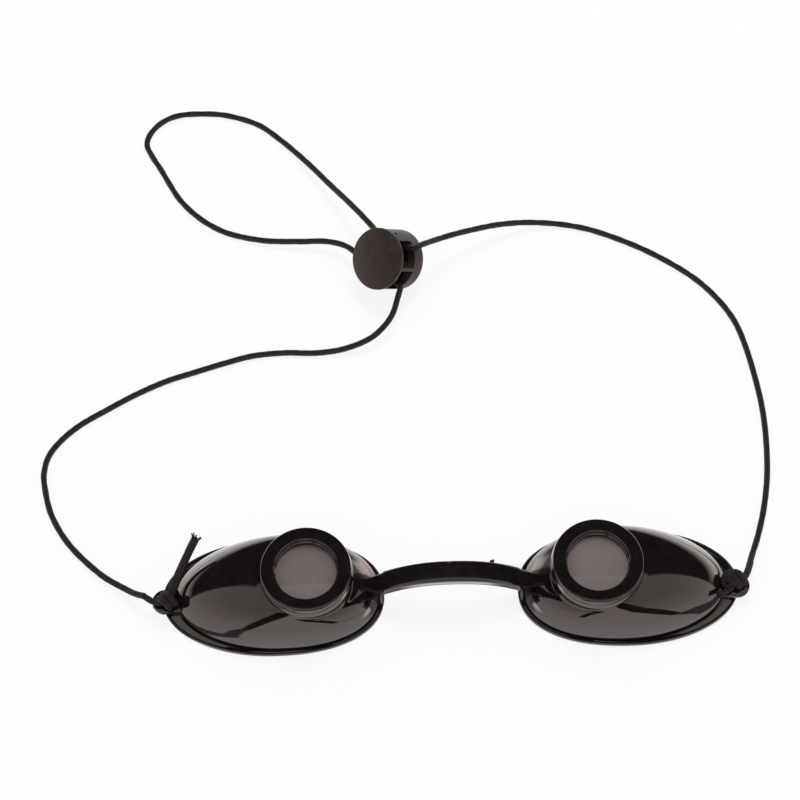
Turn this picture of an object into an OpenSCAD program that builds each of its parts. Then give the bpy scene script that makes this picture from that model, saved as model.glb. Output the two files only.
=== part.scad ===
// Laser eye shield: two opaque eye cups with dark filter windows, a flexible nose bridge and an
// elastic head cord with a sprung cord lock. Millimetres. X runs from the left cup to the right
// cup, Y points away from the wearer's chin, Z points out of the wearer's face. The cups rest on
// their rims at Z = 0.

/* [Eye cups] */
// Clear distance between the two nasal tips
nose_gap = 32; // [26:0.5:40]
// Length of one cup's rim from nasal tip to temple tip
cup_length = 53; // [46:0.5:60]
// Width of one cup's rim
cup_width = 29.8; // [26:0.2:36]
// How full the nasal end of the rim is, 2 being an ellipse
nasal_fullness = 2.3; // [2:0.1:3]
// Width of the flat rim outside the dome, all round but at the temple
rim_width = 0.9; // [0.7:0.1:2]
// Width of the flat rim at the temple end
rim_temple_width = 2.6; // [1.5:0.1:4]
// Thickness of the flat rim
rim_thickness = 0.9; // [0.6:0.1:1.6]
// Width of the raised bead along the rim's edge
bead_width = 0.5; // [0.4:0.1:0.7]
// Height of the raised bead above the rim
bead_height = 0.4; // [0.3:0.1:1]
// Wall of the dome
dome_wall = 1.4; // [1:0.1:2]
// Height at which the dome meets the collar on the temple side
dome_top_temple = 12.6; // [11:0.1:13]
// Height at which the dome meets the collar on the nasal side
dome_top_nasal = 6.4; // [5:0.1:9]

/* [Lens collar] */
// Distance of each lens axis from the middle of the bridge
lens_axis_x = 34.3; // [32:0.1:37]
// Offset of the lens axes along Y
lens_axis_y = 0.7; // [-1:0.1:1]
// Wall of the collar round the lens
collar_wall = 1.2; // [0.8:0.05:2]
// How far the lip stands out from the collar
lip_overhang = 0.45; // [0.2:0.05:0.8]
// Thickness of the lip
lip_thickness = 1.6; // [0.8:0.1:2]
// Height of the lens seat above the rim plane
lens_seat_height = 11.3; // [10:0.1:12]
// Thickness of the ledge that carries the lens
lens_ledge_thickness = 1; // [0.8:0.1:1.5]
// Width of that ledge
lens_ledge_width = 1.7; // [1:0.1:2.2]

/* [Filter lens and bezel] */
// Diameter of the filter lens
lens_diameter = 18.6; // [16:0.1:19.2]
// Thickness of the filter lens
lens_thickness = 2; // [1.5:0.1:2.4]
// Gap round the lens in its collar
lens_clearance = 0.05; // [0.02:0.01:0.1]
// Width of the bezel ring's foot on the collar's wall
bezel_rim = 1.4; // [0.8:0.05:1.6]
// Height of the bezel ring above the lip
bezel_height = 1.2; // [1:0.1:3]
// How far the bezel ring reaches in over the lens
bezel_reach = 1.8; // [1.2:0.1:2.4]
// Width of the chamfers on the bezel ring
bezel_chamfer = 0.4; // [0.2:0.1:0.6]

/* [Nose bridge] */
// Height of the middle of the strap above the rim plane
bridge_height = 12.6; // [10:0.1:15]
// Height of the strap's ends above the rim plane
bridge_end_height = 7.4; // [6.8:0.1:8]
// Thickness of the strap
bridge_thickness = 2.4; // [1.8:0.1:3]
// Width of the strap at its middle
bridge_width = 5.2; // [4:0.1:6]
// Width of the strap at its ends
bridge_end_width = 6.2; // [5:0.1:7]
// Width of the moulded foot where it meets the collar
foot_width = 3.4; // [2.6:0.1:4.5]
// Height of the foot's flat top above the rim plane
foot_height = 7; // [6.4:0.1:7.4]
// Length of the tongue at each end of the strap
tongue_length = 1.5; // [1:0.1:2]
// Width of the tongue
tongue_width = 3.2; // [2:0.1:4]
// Thickness of the tongue
tongue_thickness = 1.2; // [0.8:0.1:1.4]
// Running gap round the tongue and at the strap's free shoulder
bridge_clearance = 0.1; // [0.05:0.01:0.2]

/* [Eyelets] */
// Radius of the round lug at each temple
lug_radius = 3; // [2.4:0.1:3.6]
// Radius of the cord hole through the lug
lug_hole_radius = 1.1; // [1:0.1:1.4]
// Thickness of the lug
lug_thickness = 1.4; // [1:0.1:2]
// How far the lug's hole lies inside the temple tip
lug_inset = 0.7; // [0.2:0.1:1.5]
// Offset of the lug along Y
lug_offset_y = -1.4; // [-2:0.1:0]

/* [Cord] */
// Diameter of the round elastic cord
cord_diameter = 1.5; // [1.2:0.1:1.8]
// Width of the loose cord end beyond the left knot
tail_width = 2.3; // [1.8:0.1:2.6]
// Size of each knot, a third of its reach at the middle of the cord
knot_size = 1; // [1:0.05:1.2]
// Depth of each knot from its middle, as a multiple of its size
knot_depth = 1.6; // [1.5:0.1:1.8]
// Radius of the cord where the knot draws it tight
knot_cord_radius = 0.55; // [0.45:0.05:0.55]

/* [Cord lock] */
// Radius of the domed face of the barrel
lock_face_radius = 7.8; // [7:0.1:9]
// Radius of the drum behind the face
lock_drum_radius = 7.6; // [7:0.1:7.8]
// Wall of the drum
lock_drum_wall = 2.1; // [1.6:0.1:2.4]
// Thickness of the face at its edge
lock_face_edge = 0.9; // [0.6:0.1:1.4]
// Height of the dome on the face
lock_dome_height = 1.4; // [0.8:0.1:2]
// Length of each cord window along the lock's axis
lock_window_length = 4.9; // [4.5:0.1:5.5]
// Reach of the cord windows to each side of the divider
lock_window_reach = 6.4; // [6.2:0.1:6.6]
// Width of the divider bars between the windows
lock_divider_width = 0.9; // [0.8:0.1:1.4]
// Length of the drum's closed ring behind the windows
lock_ring_length = 4.2; // [3:0.1:4.6]
// Width of the rounding on the drum's rear edge
lock_rear_rounding = 1.1; // [0.6:0.1:1.4]
// Radius of the moulded dimple on the drum
lock_dimple_radius = 0.5; // [0.3:0.1:0.7]
// Stroke of the plunger
plunger_stroke = 1.5; // [1.2:0.1:1.8]
// Running gap of the plunger in the drum
plunger_clearance = 0.1; // [0.05:0.01:0.1]
// Gap that keeps the plunger off the cords and off its end stops
plunger_gap = 0.3; // [0.2:0.05:0.4]
// Thickness of the plunger's pinch plate
pinch_plate = 0.9; // [0.7:0.1:1.1]
// Thickness of the plunger's web between the cords
plunger_web = 1.8; // [1.4:0.1:2.2]
// Height of the dome on the plunger's button end
button_dome_height = 0.8; // [0.4:0.1:1.2]
// Radius of the spring at the middle of its wire
spring_radius = 2.2; // [1.8:0.1:2.4]
// Diameter of the spring wire
spring_wire = 0.4; // [0.3:0.05:0.45]
// Turns of the spring
spring_turns = 3; // [2:1:3]

/* [Hidden] */
$fn = 72;
outline_sides = 48;
dome_steps = 8;
cut = 1;
sink = 0.5;
cord_radius = cord_diameter / 2;
cup_centre_x = nose_gap / 2 + cup_length / 2;
temple_tip_x = nose_gap / 2 + cup_length;
dome_shift = (rim_width - rim_temple_width) / 2;
dome_half_length = cup_length / 2 - (rim_width + rim_temple_width) / 2;
dome_half_width = cup_width / 2 - rim_width;
lens_pocket_radius = lens_diameter / 2 + lens_clearance;
collar_radius = lens_pocket_radius + collar_wall;
bezel_radius = lens_pocket_radius + bezel_rim;
bezel_opening_radius = lens_diameter / 2 - bezel_reach;
view_radius = lens_diameter / 2 - lens_ledge_width;
ledge_step = 0.3;
lens_top = lens_seat_height + lens_thickness;
lip_top = lens_top + bezel_height;
lip_bottom = lip_top - lip_thickness;
lug_x = temple_tip_x - lug_inset;
lug_root_depth = 2;
seat_gap = 0.1;
lug_turn_radius = (lug_radius + cord_radius + 2 * seat_gap) / 2;
lug_height = lug_turn_radius + cord_radius + 2 * seat_gap - lug_thickness / 2;
lug_top = lug_height + lug_thickness;
knot_rise = knot_size * knot_depth + knot_cord_radius + seat_gap;
shoulder_inset = 0.2;
bridge_half = nose_gap / 2 + shoulder_inset;
bridge_curve = 2.33;
bridge_steps = 24;
bridge_corner = 4;
tongue_drop = 0.2;
tongue_bottom = bridge_end_height - bridge_thickness / 2 - tongue_drop;
foot_root = 0.3;

// Cord lock heights along its own axis, measured from its middle
cord_seat_gap = 0.05;
window_rear = -2;
window_front = window_rear + lock_window_length;
drum_rear = window_rear - lock_ring_length;
face_edge_top = window_front + lock_face_edge;
cord_level = window_rear + cord_radius + cord_seat_gap;
drum_bore = lock_drum_radius - lock_drum_wall;
slot_front = cord_level + cord_radius + plunger_gap;
slot_rear = cord_level - cord_radius - plunger_gap - plunger_stroke;
stem_front = slot_front + pinch_plate;
button_edge = drum_rear - plunger_stroke - plunger_gap;
dimple_level = window_front - 1.4;
dimple_bearing = 78;
pocket_depth = 0.5;
pocket_play = 0.2;
pocket_top = face_edge_top + pocket_depth;
pocket_radius = spring_radius + spring_wire + pocket_play;
spring_seat_gap = 0.05;

// Cord lock's place: its axis leans up and to the left, its two cord channels run down to the
// right, each at the same distance from the axis
lock_centre = [-13, 87.5, 9.75];
lock_turn = [43, -18, -41];
channel = 4.8;

// Routes of the head cord, chosen by hand; it lies on the table but near the lock and the lugs
left_route_table = [
  [-10.4, 78, 6.4], [-11.8, 74, 5.4], [-14, 71, 4.6], [-17, 68.6, 3.6], [-21, 67, 2.6],
  [-26, 66, 1.7], [-32, 65.8, 1], [-39, 66.2, 0.8], [-47, 65.6, 0.8], [-54, 63.8, 0.8],
  [-62, 61.3, 0.8], [-69, 59, 0.8], [-76.5, 55.5, 0.8], [-83.5, 51.5, 0.8], [-90, 47.5, 0.8],
  [-94.5, 43.5, 0.8], [-97.4, 39.5, 0.8], [-98.5, 35.5, 0.8], [-98.4, 31.4, 0.8],
  [-96.4, 23.2, 0.8], [-91.7, 15, 0.8], [-84.2, 7.2, 1], [-78, 2.7, 2.1], [-75.2, 0.6, 3.8], [-73, -0.6, 5.2]
];
loop_route_table = [
  [-16, 97, 9.4], [-19, 101.5, 8.6], [-22.6, 107, 6.8], [-26.8, 113, 4.9], [-30.7, 118.8, 3.1],
  [-34.6, 124, 1.8], [-39.5, 129.6, 0.9], [-45.6, 134.8, 0.8], [-54, 138, 0.8],
  [-61.5, 138.7, 0.8], [-67, 138.2, 0.8], [-71, 136.2, 0.8], [-73.8, 133, 0.8],
  [-74.8, 129.5, 0.8], [-73.5, 126, 0.8], [-71, 121.5, 0.8], [-68.6, 116.8, 0.8],
  [-66, 112.2, 0.8], [-62.3, 107.8, 0.8], [-58, 104.2, 0.8], [-52.5, 101.2, 0.9],
  [-44, 98.8, 1.4], [-35, 97.6, 2.5], [-28, 96.7, 3.7], [-22.5, 94.2, 4.7]
];
right_route_table = [
  [-3.9, 88.8, 14.2], [0.6, 92.4, 10.8], [5, 94.8, 9], [10, 97.2, 7], [16, 99.6, 4.9],
  [23, 101.3, 2.8], [31, 101.6, 1.3], [38.8, 100.2, 0.8], [46, 97.3, 0.8], [53.5, 93.4, 0.8],
  [60.5, 88.8, 0.8], [66.5, 83.8, 0.8], [71.4, 77.9, 0.8], [74.8, 71.8, 0.8], [76.8, 65, 0.8],
  [78.4, 56, 0.8], [79.4, 47, 0.8], [79.5, 38, 0.8], [78.8, 28.5, 0.8], [77.2, 20, 0.8],
  [75, 12.5, 1.2], [72.9, 7, 2.5], [71.5, 3.2, 4.4]
];
// The loose end of the cord stands up from the left knot; the right one is short and lies back
tail_route_table = [
  [-67, -1.2, 5.6], [-65.6, 2.2, 6.8], [-63.7, 5.8, 8.4], [-61.9, 9, 10.1], [-60.7, 10.9, 11.2]
];
right_tail_table = [[67, -2.4, 5.2], [65.2, -3.9, 5.8], [63.2, -5.2, 7]];

function unit(v) = v / norm(v);

// A point of the rim's outline: an ellipse at the temple, fuller at the nose
function outline_point(a, half_length, half_width) =
  let(power = 2 / (cos(a) < 0 ? nasal_fullness : 2))
  [
    half_length * sign(cos(a)) * pow(abs(cos(a)), power),
    half_width * sign(sin(a)) * pow(abs(sin(a)), power)
  ];

function outline_angle(i) = 360 * (i + 0.5) / outline_sides;

function rim_outline(inset) = [
  for (i = [0 : outline_sides - 1])
    [cup_centre_x, 0] + outline_point(outline_angle(i), cup_length / 2 - inset, cup_width / 2 - inset)
];

function dome_outline(inset) = [
  for (i = [0 : outline_sides - 1])
    [cup_centre_x + dome_shift, 0]
    + outline_point(outline_angle(i), dome_half_length - inset, dome_half_width - inset)
];

// Height at which the dome meets the collar, lowest on the nasal side
function dome_top(a) =
  dome_top_nasal + (dome_top_temple - dome_top_nasal) * pow((1 + cos(a)) / 2, 0.4);

// One level of the dome between its base outline and the collar's circle
function dome_ring(step, inset) =
  let(
    t = 90 * step / dome_steps,
    mix = 1 - cos(t),
    base = dome_outline(inset),
    top_radius = collar_radius - sink - inset
  )
  [
    for (i = [0 : outline_sides - 1])
      let(
        a = outline_angle(i),
        round = [lens_axis_x + top_radius * cos(a), lens_axis_y + top_radius * sin(a)],
        flat = base[i] * (1 - mix) + round * mix
      )
      [flat[0], flat[1], (dome_top(a) - inset) * sin(t)]
  ];

function sum_of(points, i = 0) = i == len(points) - 1 ? points[i] : points[i] + sum_of(points, i + 1);
function average(ring) = sum_of(ring) / len(ring);

// A closed solid through rings of equally many points, each turning left seen from the last ring
module loft(rings) {
  sides = len(rings[0]);
  last = len(rings) - 1;
  corners = concat([for (ring = rings) each ring], [average(rings[0]), average(rings[last])]);
  first_hub = sides * len(rings);
  walls = [
    for (j = [0 : last - 1])
      for (i = [0 : sides - 1])
        let(
          a = j * sides + i,
          b = j * sides + (i + 1) % sides,
          c = b + sides,
          d = a + sides
        )
        each [[a, d, c], [a, c, b]]
  ];
  ends = [
    for (i = [0 : sides - 1])
      let(next = (i + 1) % sides)
      each [
        [first_hub, i, next],
        [first_hub + 1, last * sides + next, last * sides + i]
      ]
  ];
  polyhedron(points = corners, faces = concat(walls, ends), convexity = 8);
}

// Directions along a route, each halfway between the stretches that meet at its point
function heading(route, i) =
  unit(route[min(i + 1, len(route) - 1)] - route[max(i - 1, 0)]);

// Round or flattened tube along a route that is nowhere upright
function tube_ring(route, i, half_width, half_height, sides) =
  let(
    ahead = heading(route, i),
    side = unit(cross(ahead, [0, 0, 1])),
    rise = cross(ahead, side)
  )
  [
    for (k = [0 : sides - 1])
      let(a = 360 * (k + 0.5) / sides)
      route[i] + side * half_width * cos(a) + rise * half_height * sin(a)
  ];

module tube(route, half_width, half_height, sides = 8) {
  loft([for (i = [0 : len(route) - 1]) tube_ring(route, i, half_width, half_height, sides)]);
}

// Turns a point or direction as rotate() does
function turned(p, r) =
  let(
    x1 = p[0],
    y1 = p[1] * cos(r[0]) - p[2] * sin(r[0]),
    z1 = p[1] * sin(r[0]) + p[2] * cos(r[0]),
    x2 = x1 * cos(r[1]) + z1 * sin(r[1]),
    z2 = z1 * cos(r[1]) - x1 * sin(r[1])
  )
  [x2 * cos(r[2]) - y1 * sin(r[2]), x2 * sin(r[2]) + y1 * cos(r[2]), z2];

// A point at the cords' level in the lock, along its channels and across them
function in_lock(along, across) = lock_centre + turned([along, across, cord_level], lock_turn);

left_route = concat([in_lock(0, -channel), in_lock(3, -channel), in_lock(5.8, -5)], left_route_table);
loop_route = concat(
  [in_lock(0, channel), in_lock(-3.4, channel), in_lock(-6.6, channel)],
  loop_route_table,
  [in_lock(-6.8, -3.6), in_lock(-3.2, -channel), in_lock(0, -channel)]
);
right_route = concat([in_lock(0, channel), in_lock(3, channel), in_lock(6.6, 5.5)], right_route_table);

module place_lock() {
  translate(lock_centre)
    rotate(lock_turn)
      children();
}

module rim_flange() {
  linear_extrude(rim_thickness)
    polygon(rim_outline(0));
  linear_extrude(rim_thickness + bead_height)
    difference() {
      polygon(rim_outline(0));
      polygon(rim_outline(bead_width));
    }
}

module dome_solid() {
  loft([for (step = [0 : dome_steps]) dome_ring(step, 0)]);
}

module dome_hollow() {
  below = [for (p = dome_outline(dome_wall)) [p[0], p[1], -cut]];
  loft(concat([below], [for (step = [0 : dome_steps]) dome_ring(step, dome_wall)]));
}

// Collar that carries the lens: its foot is cut on the slant to follow the dome
module collar() {
  difference() {
    translate([lens_axis_x, lens_axis_y, dome_top_nasal - dome_wall])
      cylinder(r = collar_radius, h = lip_top - dome_top_nasal + dome_wall);
    slant = atan((lens_seat_height - lens_ledge_thickness - dome_top_nasal + dome_wall) / (2 * collar_radius));
    translate([lens_axis_x - collar_radius, -collar_radius * 2, dome_top_nasal - dome_wall])
      rotate([0, -slant, 0])
        translate([-cut, 0, -lip_top])
          cube([collar_radius * 3, collar_radius * 4, lip_top]);
    translate([lens_axis_x, lens_axis_y, 0])
      cylinder(r = view_radius + lens_ledge_width - ledge_step, h = lens_seat_height - lens_ledge_thickness);
  }
  translate([lens_axis_x, lens_axis_y, lip_bottom])
    cylinder(r = collar_radius + lip_overhang, h = lip_thickness);
}

// Moulded foot that carries the strap: a web on the rim's tip and a bar to the collar
module bridge_foot() {
  shoulder = bridge_half;
  root_top = bridge_end_height + bridge_thickness / 2 + foot_root;
  collar_side = lens_axis_x - collar_radius + sink;
  intersection() {
    rotate([90, 0, 0])
      linear_extrude(bridge_end_width, center = true)
        polygon([
          [shoulder, foot_root], [shoulder, root_top], [shoulder + 1, root_top - 0.8],
          [shoulder + 2.2, foot_height + foot_root], [shoulder + 3.6, foot_height],
          [collar_side, foot_height],
          [collar_side, foot_height - 2],
          [shoulder + rim_width + dome_wall, foot_root]
        ]);
    linear_extrude(bridge_height)
      polygon([
        [shoulder, bridge_end_width / 2], [shoulder + 1.5, bridge_end_width / 2 - 0.1],
        [shoulder + 4, foot_width / 2 + foot_root], [collar_side, foot_width / 2],
        [collar_side, -foot_width / 2], [shoulder + 4, -foot_width / 2 - foot_root],
        [shoulder + 1.5, 0.1 - bridge_end_width / 2], [shoulder, -bridge_end_width / 2]
      ]);
  }
}

module tongue(grow) {
  translate([bridge_half - sink, -tongue_width / 2 - grow, tongue_bottom - grow])
    cube([tongue_length + sink + grow, tongue_width + 2 * grow, tongue_thickness + 2 * grow]);
}

// Round eyelet lug with a root that runs into the dome
module lug() {
  translate([lug_x, lug_offset_y, lug_height])
    cylinder(r = lug_radius, h = lug_thickness);
  translate([temple_tip_x - rim_temple_width - dome_wall, lug_offset_y - lug_radius, lug_height])
    cube([lug_x - temple_tip_x + rim_temple_width + dome_wall, 2 * lug_radius, lug_thickness]);
  translate([temple_tip_x - rim_temple_width - dome_wall, lug_offset_y - lug_radius, rim_thickness / 2])
    cube([lug_root_depth, 2 * lug_radius, lug_height]);
}

module eye_cup() {
  difference() {
    union() {
      rim_flange();
      dome_solid();
      bridge_foot();
      lug();
    }
    dome_hollow();
    translate([lens_axis_x, lens_axis_y, lens_seat_height])
      cylinder(r = lens_pocket_radius, h = lip_top);
    translate([lens_axis_x, lens_axis_y, 0])
      cylinder(r = view_radius, h = lip_top);
    translate([lug_x, lug_offset_y, -cut])
      cylinder(r = lug_hole_radius, h = lug_top + 2 * cut);
    translate([lug_x + lug_turn_radius, lug_offset_y, -cut])
      cylinder(r = lug_turn_radius + cord_radius + 2 * seat_gap, h = lug_height + cut);
    tongue(bridge_clearance);
  }
  difference() {
    collar();
    translate([lens_axis_x, lens_axis_y, 0])
      cylinder(r = view_radius, h = lip_top);
    translate([lens_axis_x, lens_axis_y, lens_seat_height])
      cylinder(r = lens_pocket_radius, h = lip_top);
  }
}

module filter_lens() {
  edge = 0.2;
  radius = lens_diameter / 2;
  translate([lens_axis_x, lens_axis_y, lens_seat_height])
    rotate_extrude()
      polygon([
        [0, 0], [radius - edge, 0], [radius, edge], [radius, lens_thickness - edge],
        [radius - edge, lens_thickness], [0, lens_thickness]
      ]);
}

module lens_bezel() {
  spigot = lens_pocket_radius - lens_clearance / 2;
  step = lip_top - lens_top;
  top = step + bezel_height;
  lead_in = 0.2;
  inner = bezel_opening_radius - ledge_step;
  translate([lens_axis_x, lens_axis_y, lens_top])
    rotate_extrude()
      polygon([
        [inner, 0], [spigot - lead_in, 0], [spigot, lead_in], [spigot, step], [bezel_radius, step],
        [bezel_radius, top - bezel_chamfer], [bezel_radius - bezel_chamfer, top],
        [bezel_opening_radius + bezel_chamfer, top], [bezel_opening_radius, top - bezel_chamfer],
        [inner, step]
      ]);
}

// Height of the strap's middle line at a distance from its middle
function bridge_line(x) =
  bridge_height - (bridge_height - bridge_end_height) * pow(abs(x) / bridge_half, bridge_curve);

function bridge_slope(x) =
  bridge_curve * (bridge_height - bridge_end_height) / bridge_half * pow(abs(x) / bridge_half, bridge_curve - 1);

function bridge_half_width(x) =
  bridge_width / 2 + (bridge_end_width - bridge_width) / 2 * pow(abs(x) / bridge_half, 1.5);

function bridge_ring(x) =
  let(half_height = bridge_thickness / 2 * sqrt(1 + pow(bridge_slope(x), 2)))
  [
    for (k = [0 : 15])
      let(
        a = 360 * (k + 0.5) / 16,
        power = 2 / bridge_corner
      )
      [
        x,
        bridge_half_width(x) * sign(cos(a)) * pow(abs(cos(a)), power),
        bridge_line(x) + half_height * sign(sin(a)) * pow(abs(sin(a)), power)
      ]
  ];

// The strap sits hard against the left cup and keeps its running gap to the right cup
module nose_bridge() {
  left_end = -bridge_half;
  right_end = bridge_half - bridge_clearance;
  loft([
    for (k = [0 : bridge_steps])
      bridge_ring(left_end + (right_end - left_end) * k / bridge_steps)
  ]);
  tongue(0);
  mirror([1, 0, 0])
    tongue(0);
}

// Each knot is a threefold overhand form, open where the strand and the loose end leave it
knot_middle = [lug_x + 2 * seat_gap, lug_offset_y, lug_top + knot_rise];
knot_steps = 36;
function knot_point(i) =
  let(t = 66 + 348 * i / knot_steps)
  knot_size * [sin(t) + 2 * sin(2 * t), cos(t) - 2 * cos(2 * t), -knot_depth * sin(3 * t)];
knot_route = [for (i = [0 : knot_steps]) knot_middle + knot_point(i)];
knot_gap = min([
  for (i = [0 : knot_steps - 8])
    for (j = [i + 8 : min(knot_steps, i + knot_steps - 8)])
      norm(knot_point(i) - knot_point(j)) - 2 * knot_cord_radius
]);
echo(knot_least_gap = knot_gap);

// The turn that passes through the lug's hole and round the lug's edge into the knot
turn_middle = [lug_x + lug_turn_radius, lug_offset_y, lug_height + lug_thickness / 2];
turn_route = [
  for (a = [-238 : 20 : 58])
    turn_middle + lug_turn_radius * [cos(a), 0, sin(a)]
];

// Tube whose rings stay true where the route runs upright, as the turn through the lug does
module upright_tube(route, radius, sides) {
  loft([
    for (i = [0 : len(route) - 1])
      let(
        ahead = heading(route, i),
        side = [0, 1, 0],
        rise = cross(ahead, side)
      )
      [
        for (k = [0 : sides - 1])
          let(a = 360 * (k + 0.5) / sides)
          route[i] + radius * (side * cos(a) + rise * sin(a))
      ]
  ]);
}

module knot_turns() {
  upright_tube(turn_route, cord_radius, 8);
  tube(knot_route, knot_cord_radius, knot_cord_radius, 6);
}

module frayed_end() {
  tip = tail_route_table[len(tail_route_table) - 1];
  for (spread = [[-1.1, 1.6, 1.4], [0.1, 2, 1.6], [1.2, 1.7, 1]])
    tube([tip - [0.3, 0.6, 0.5], tip + spread * 0.4, tip + spread], 0.4, 0.3, 6);
}

module left_knot() {
  mirror([1, 0, 0])
    knot_turns();
  tube(tail_route_table, tail_width / 2, cord_radius);
  frayed_end();
}

module right_knot() {
  knot_turns();
  tube(right_tail_table, cord_radius, cord_radius);
}

module lock_windows(reach, front, rear, divider) {
  for (side = [-1, 1])
    translate([-lock_face_radius - cut, side > 0 ? divider / 2 : -reach, rear])
      cube([2 * (lock_face_radius + cut), reach - divider / 2, front - rear]);
}

// A domed disc: its edge starts at z and its crown rises by the dome's height
module domed_disc(radius, edge, sagitta) {
  ball = (radius * radius + sagitta * sagitta) / (2 * sagitta);
  intersection() {
    cylinder(r = radius, h = edge + sagitta + cut);
    translate([0, 0, edge + sagitta - ball])
      sphere(r = ball, $fn = 120);
  }
}

module lock_barrel() {
  place_lock()
    difference() {
      union() {
        translate([0, 0, window_front])
          domed_disc(lock_face_radius, lock_face_edge, lock_dome_height);
        rotate_extrude()
          polygon([
            [0, drum_rear], [lock_drum_radius - lock_rear_rounding, drum_rear],
            [lock_drum_radius - 0.3 * lock_rear_rounding, drum_rear + 0.3 * lock_rear_rounding],
            [lock_drum_radius, drum_rear + lock_rear_rounding],
            [lock_drum_radius, window_front + lock_face_edge / 2], [0, window_front + lock_face_edge / 2]
          ]);
      }
      translate([0, 0, drum_rear - cut])
        cylinder(r = drum_bore, h = window_front - drum_rear + cut);
      translate([0, 0, window_front - cut])
        cylinder(r = pocket_radius, h = pocket_top - window_front + cut);
      lock_windows(lock_window_reach, window_front, window_rear, lock_divider_width);
      rotate([0, 0, dimple_bearing])
        translate([lock_drum_radius - lock_dimple_radius, 0, dimple_level])
          rotate([0, 90, 0])
            cylinder(r = lock_dimple_radius, h = lock_dimple_radius + cut);
    }
}

module lock_plunger() {
  stem_radius = drum_bore - plunger_clearance;
  place_lock() {
    difference() {
      translate([0, 0, button_edge])
        cylinder(r = stem_radius, h = stem_front - button_edge);
      lock_windows(drum_bore + cut, slot_front, slot_rear, plunger_web);
    }
    translate([0, 0, button_edge + sink])
      mirror([0, 0, 1])
        domed_disc(stem_radius, sink, button_dome_height);
  }
}

// Compression spring between the pinch plate and the barrel's face
spring_low = stem_front + spring_wire / 2 + spring_seat_gap;
spring_high = pocket_top - spring_wire / 2 - spring_seat_gap;
spring_points = 8 * spring_turns;
function spring_point(i) =
  let(a = 45 * i)
  [
    spring_radius * cos(a),
    spring_radius * sin(a),
    spring_low + (spring_high - spring_low) * i / spring_points
  ];
function spring_ring(i) =
  let(
    a = 45 * i,
    outward = [cos(a), sin(a), 0],
    rise = (spring_high - spring_low) / spring_turns / (2 * PI * spring_radius),
    ahead = unit([-sin(a), cos(a), rise]),
    third = cross(ahead, outward)
  )
  [
    for (k = [0 : 5])
      spring_point(i) + spring_wire / 2 * (outward * cos(60 * k) + third * sin(60 * k))
  ];
spring_gap = min([
  for (i = [0 : spring_points - 5])
    for (j = [i + 5 : spring_points])
      norm(spring_point(i) - spring_point(j)) - spring_wire
]);
echo(spring_least_gap = spring_gap);

module lock_spring() {
  place_lock()
    loft([for (i = [0 : spring_points]) spring_ring(i)]);
}

function length_of(route, i = 1) =
  i == len(route) ? 0 : norm(route[i] - route[i - 1]) + length_of(route, i + 1);
echo(left_strand_length = length_of(left_route));
echo(loop_length = length_of(loop_route));
echo(right_strand_length = length_of(right_route));
echo(plunger_axis = turned([0, 0, 1], lock_turn));

color("dimgray") mirror([1, 0, 0]) eye_cup();  // left_eye_cup
color("dimgray") eye_cup();  // right_eye_cup
color("rosybrown") mirror([1, 0, 0]) filter_lens();  // left_filter_lens
color("rosybrown") filter_lens();  // right_filter_lens
color("gray") mirror([1, 0, 0]) lens_bezel();  // left_lens_bezel
color("gray") lens_bezel();  // right_lens_bezel
color("slategray") nose_bridge();
color("sienna") tube(left_route, cord_radius, cord_radius);  // cord_left_strand
color("peru") tube(loop_route, cord_radius, cord_radius);  // cord_loop
color("sienna") tube(right_route, cord_radius, cord_radius);  // cord_right_strand
color("saddlebrown") left_knot();
color("saddlebrown") right_knot();
color("darkslategray") lock_barrel();
color("steelblue") lock_plunger();
color("silver") lock_spring();
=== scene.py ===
"""Laser eye shield: opaque cups with dark windows, a nose bridge and a head cord with a lock."""

import logging
import math
import random
from contextlib import contextmanager
from dataclasses import dataclass
from enum import Enum
from typing import Callable, Iterator, Sequence

import bmesh
import bpy
from mathutils import Euler, Matrix, Vector


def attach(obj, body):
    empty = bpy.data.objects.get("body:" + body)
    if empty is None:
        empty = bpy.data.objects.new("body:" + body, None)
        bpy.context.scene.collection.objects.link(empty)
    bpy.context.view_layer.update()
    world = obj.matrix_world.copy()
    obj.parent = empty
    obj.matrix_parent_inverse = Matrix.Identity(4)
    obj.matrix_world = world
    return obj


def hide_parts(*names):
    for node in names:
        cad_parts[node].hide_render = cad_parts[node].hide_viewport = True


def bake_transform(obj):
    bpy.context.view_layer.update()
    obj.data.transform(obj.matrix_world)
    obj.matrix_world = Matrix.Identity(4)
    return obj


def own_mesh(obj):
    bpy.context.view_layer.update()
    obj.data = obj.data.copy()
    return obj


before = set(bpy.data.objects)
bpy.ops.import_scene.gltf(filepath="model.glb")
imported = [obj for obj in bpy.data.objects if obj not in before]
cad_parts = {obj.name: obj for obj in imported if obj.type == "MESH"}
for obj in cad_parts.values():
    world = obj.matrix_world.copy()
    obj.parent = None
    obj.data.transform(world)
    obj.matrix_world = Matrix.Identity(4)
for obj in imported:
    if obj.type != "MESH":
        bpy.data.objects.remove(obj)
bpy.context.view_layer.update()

LOG = logging.getLogger("eye_shield")
MM = 0.001
MERGE = 1e-7
CURVE_STEPS = 24

Piece = bpy.types.Object
Material = bpy.types.Material
Socket = bpy.types.NodeSocket
Value = bpy.types.NodeSocket | float
Pair = tuple[float, float]
Triple = tuple[float, float, float]
Profile = list[tuple[float, float]]
Ring = list[Vector]

# Sizes and places that several pieces share, in millimetres
LENS_AXIS = (34.3, 0.7)
SEAT_HEIGHT = 11.3
LIP_TOP = 14.5
LUG_CENTRE = (68.3, -1.4)
LUG_BOTTOM = 2.225
CORD_TURN_RADIUS = 1.975
LOCK_CENTRE = (-13.0, 87.5, 9.75)
LOCK_TURN = Euler([math.radians(a) for a in (43.0, -18.0, -41.0)], "XYZ").to_matrix()


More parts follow.
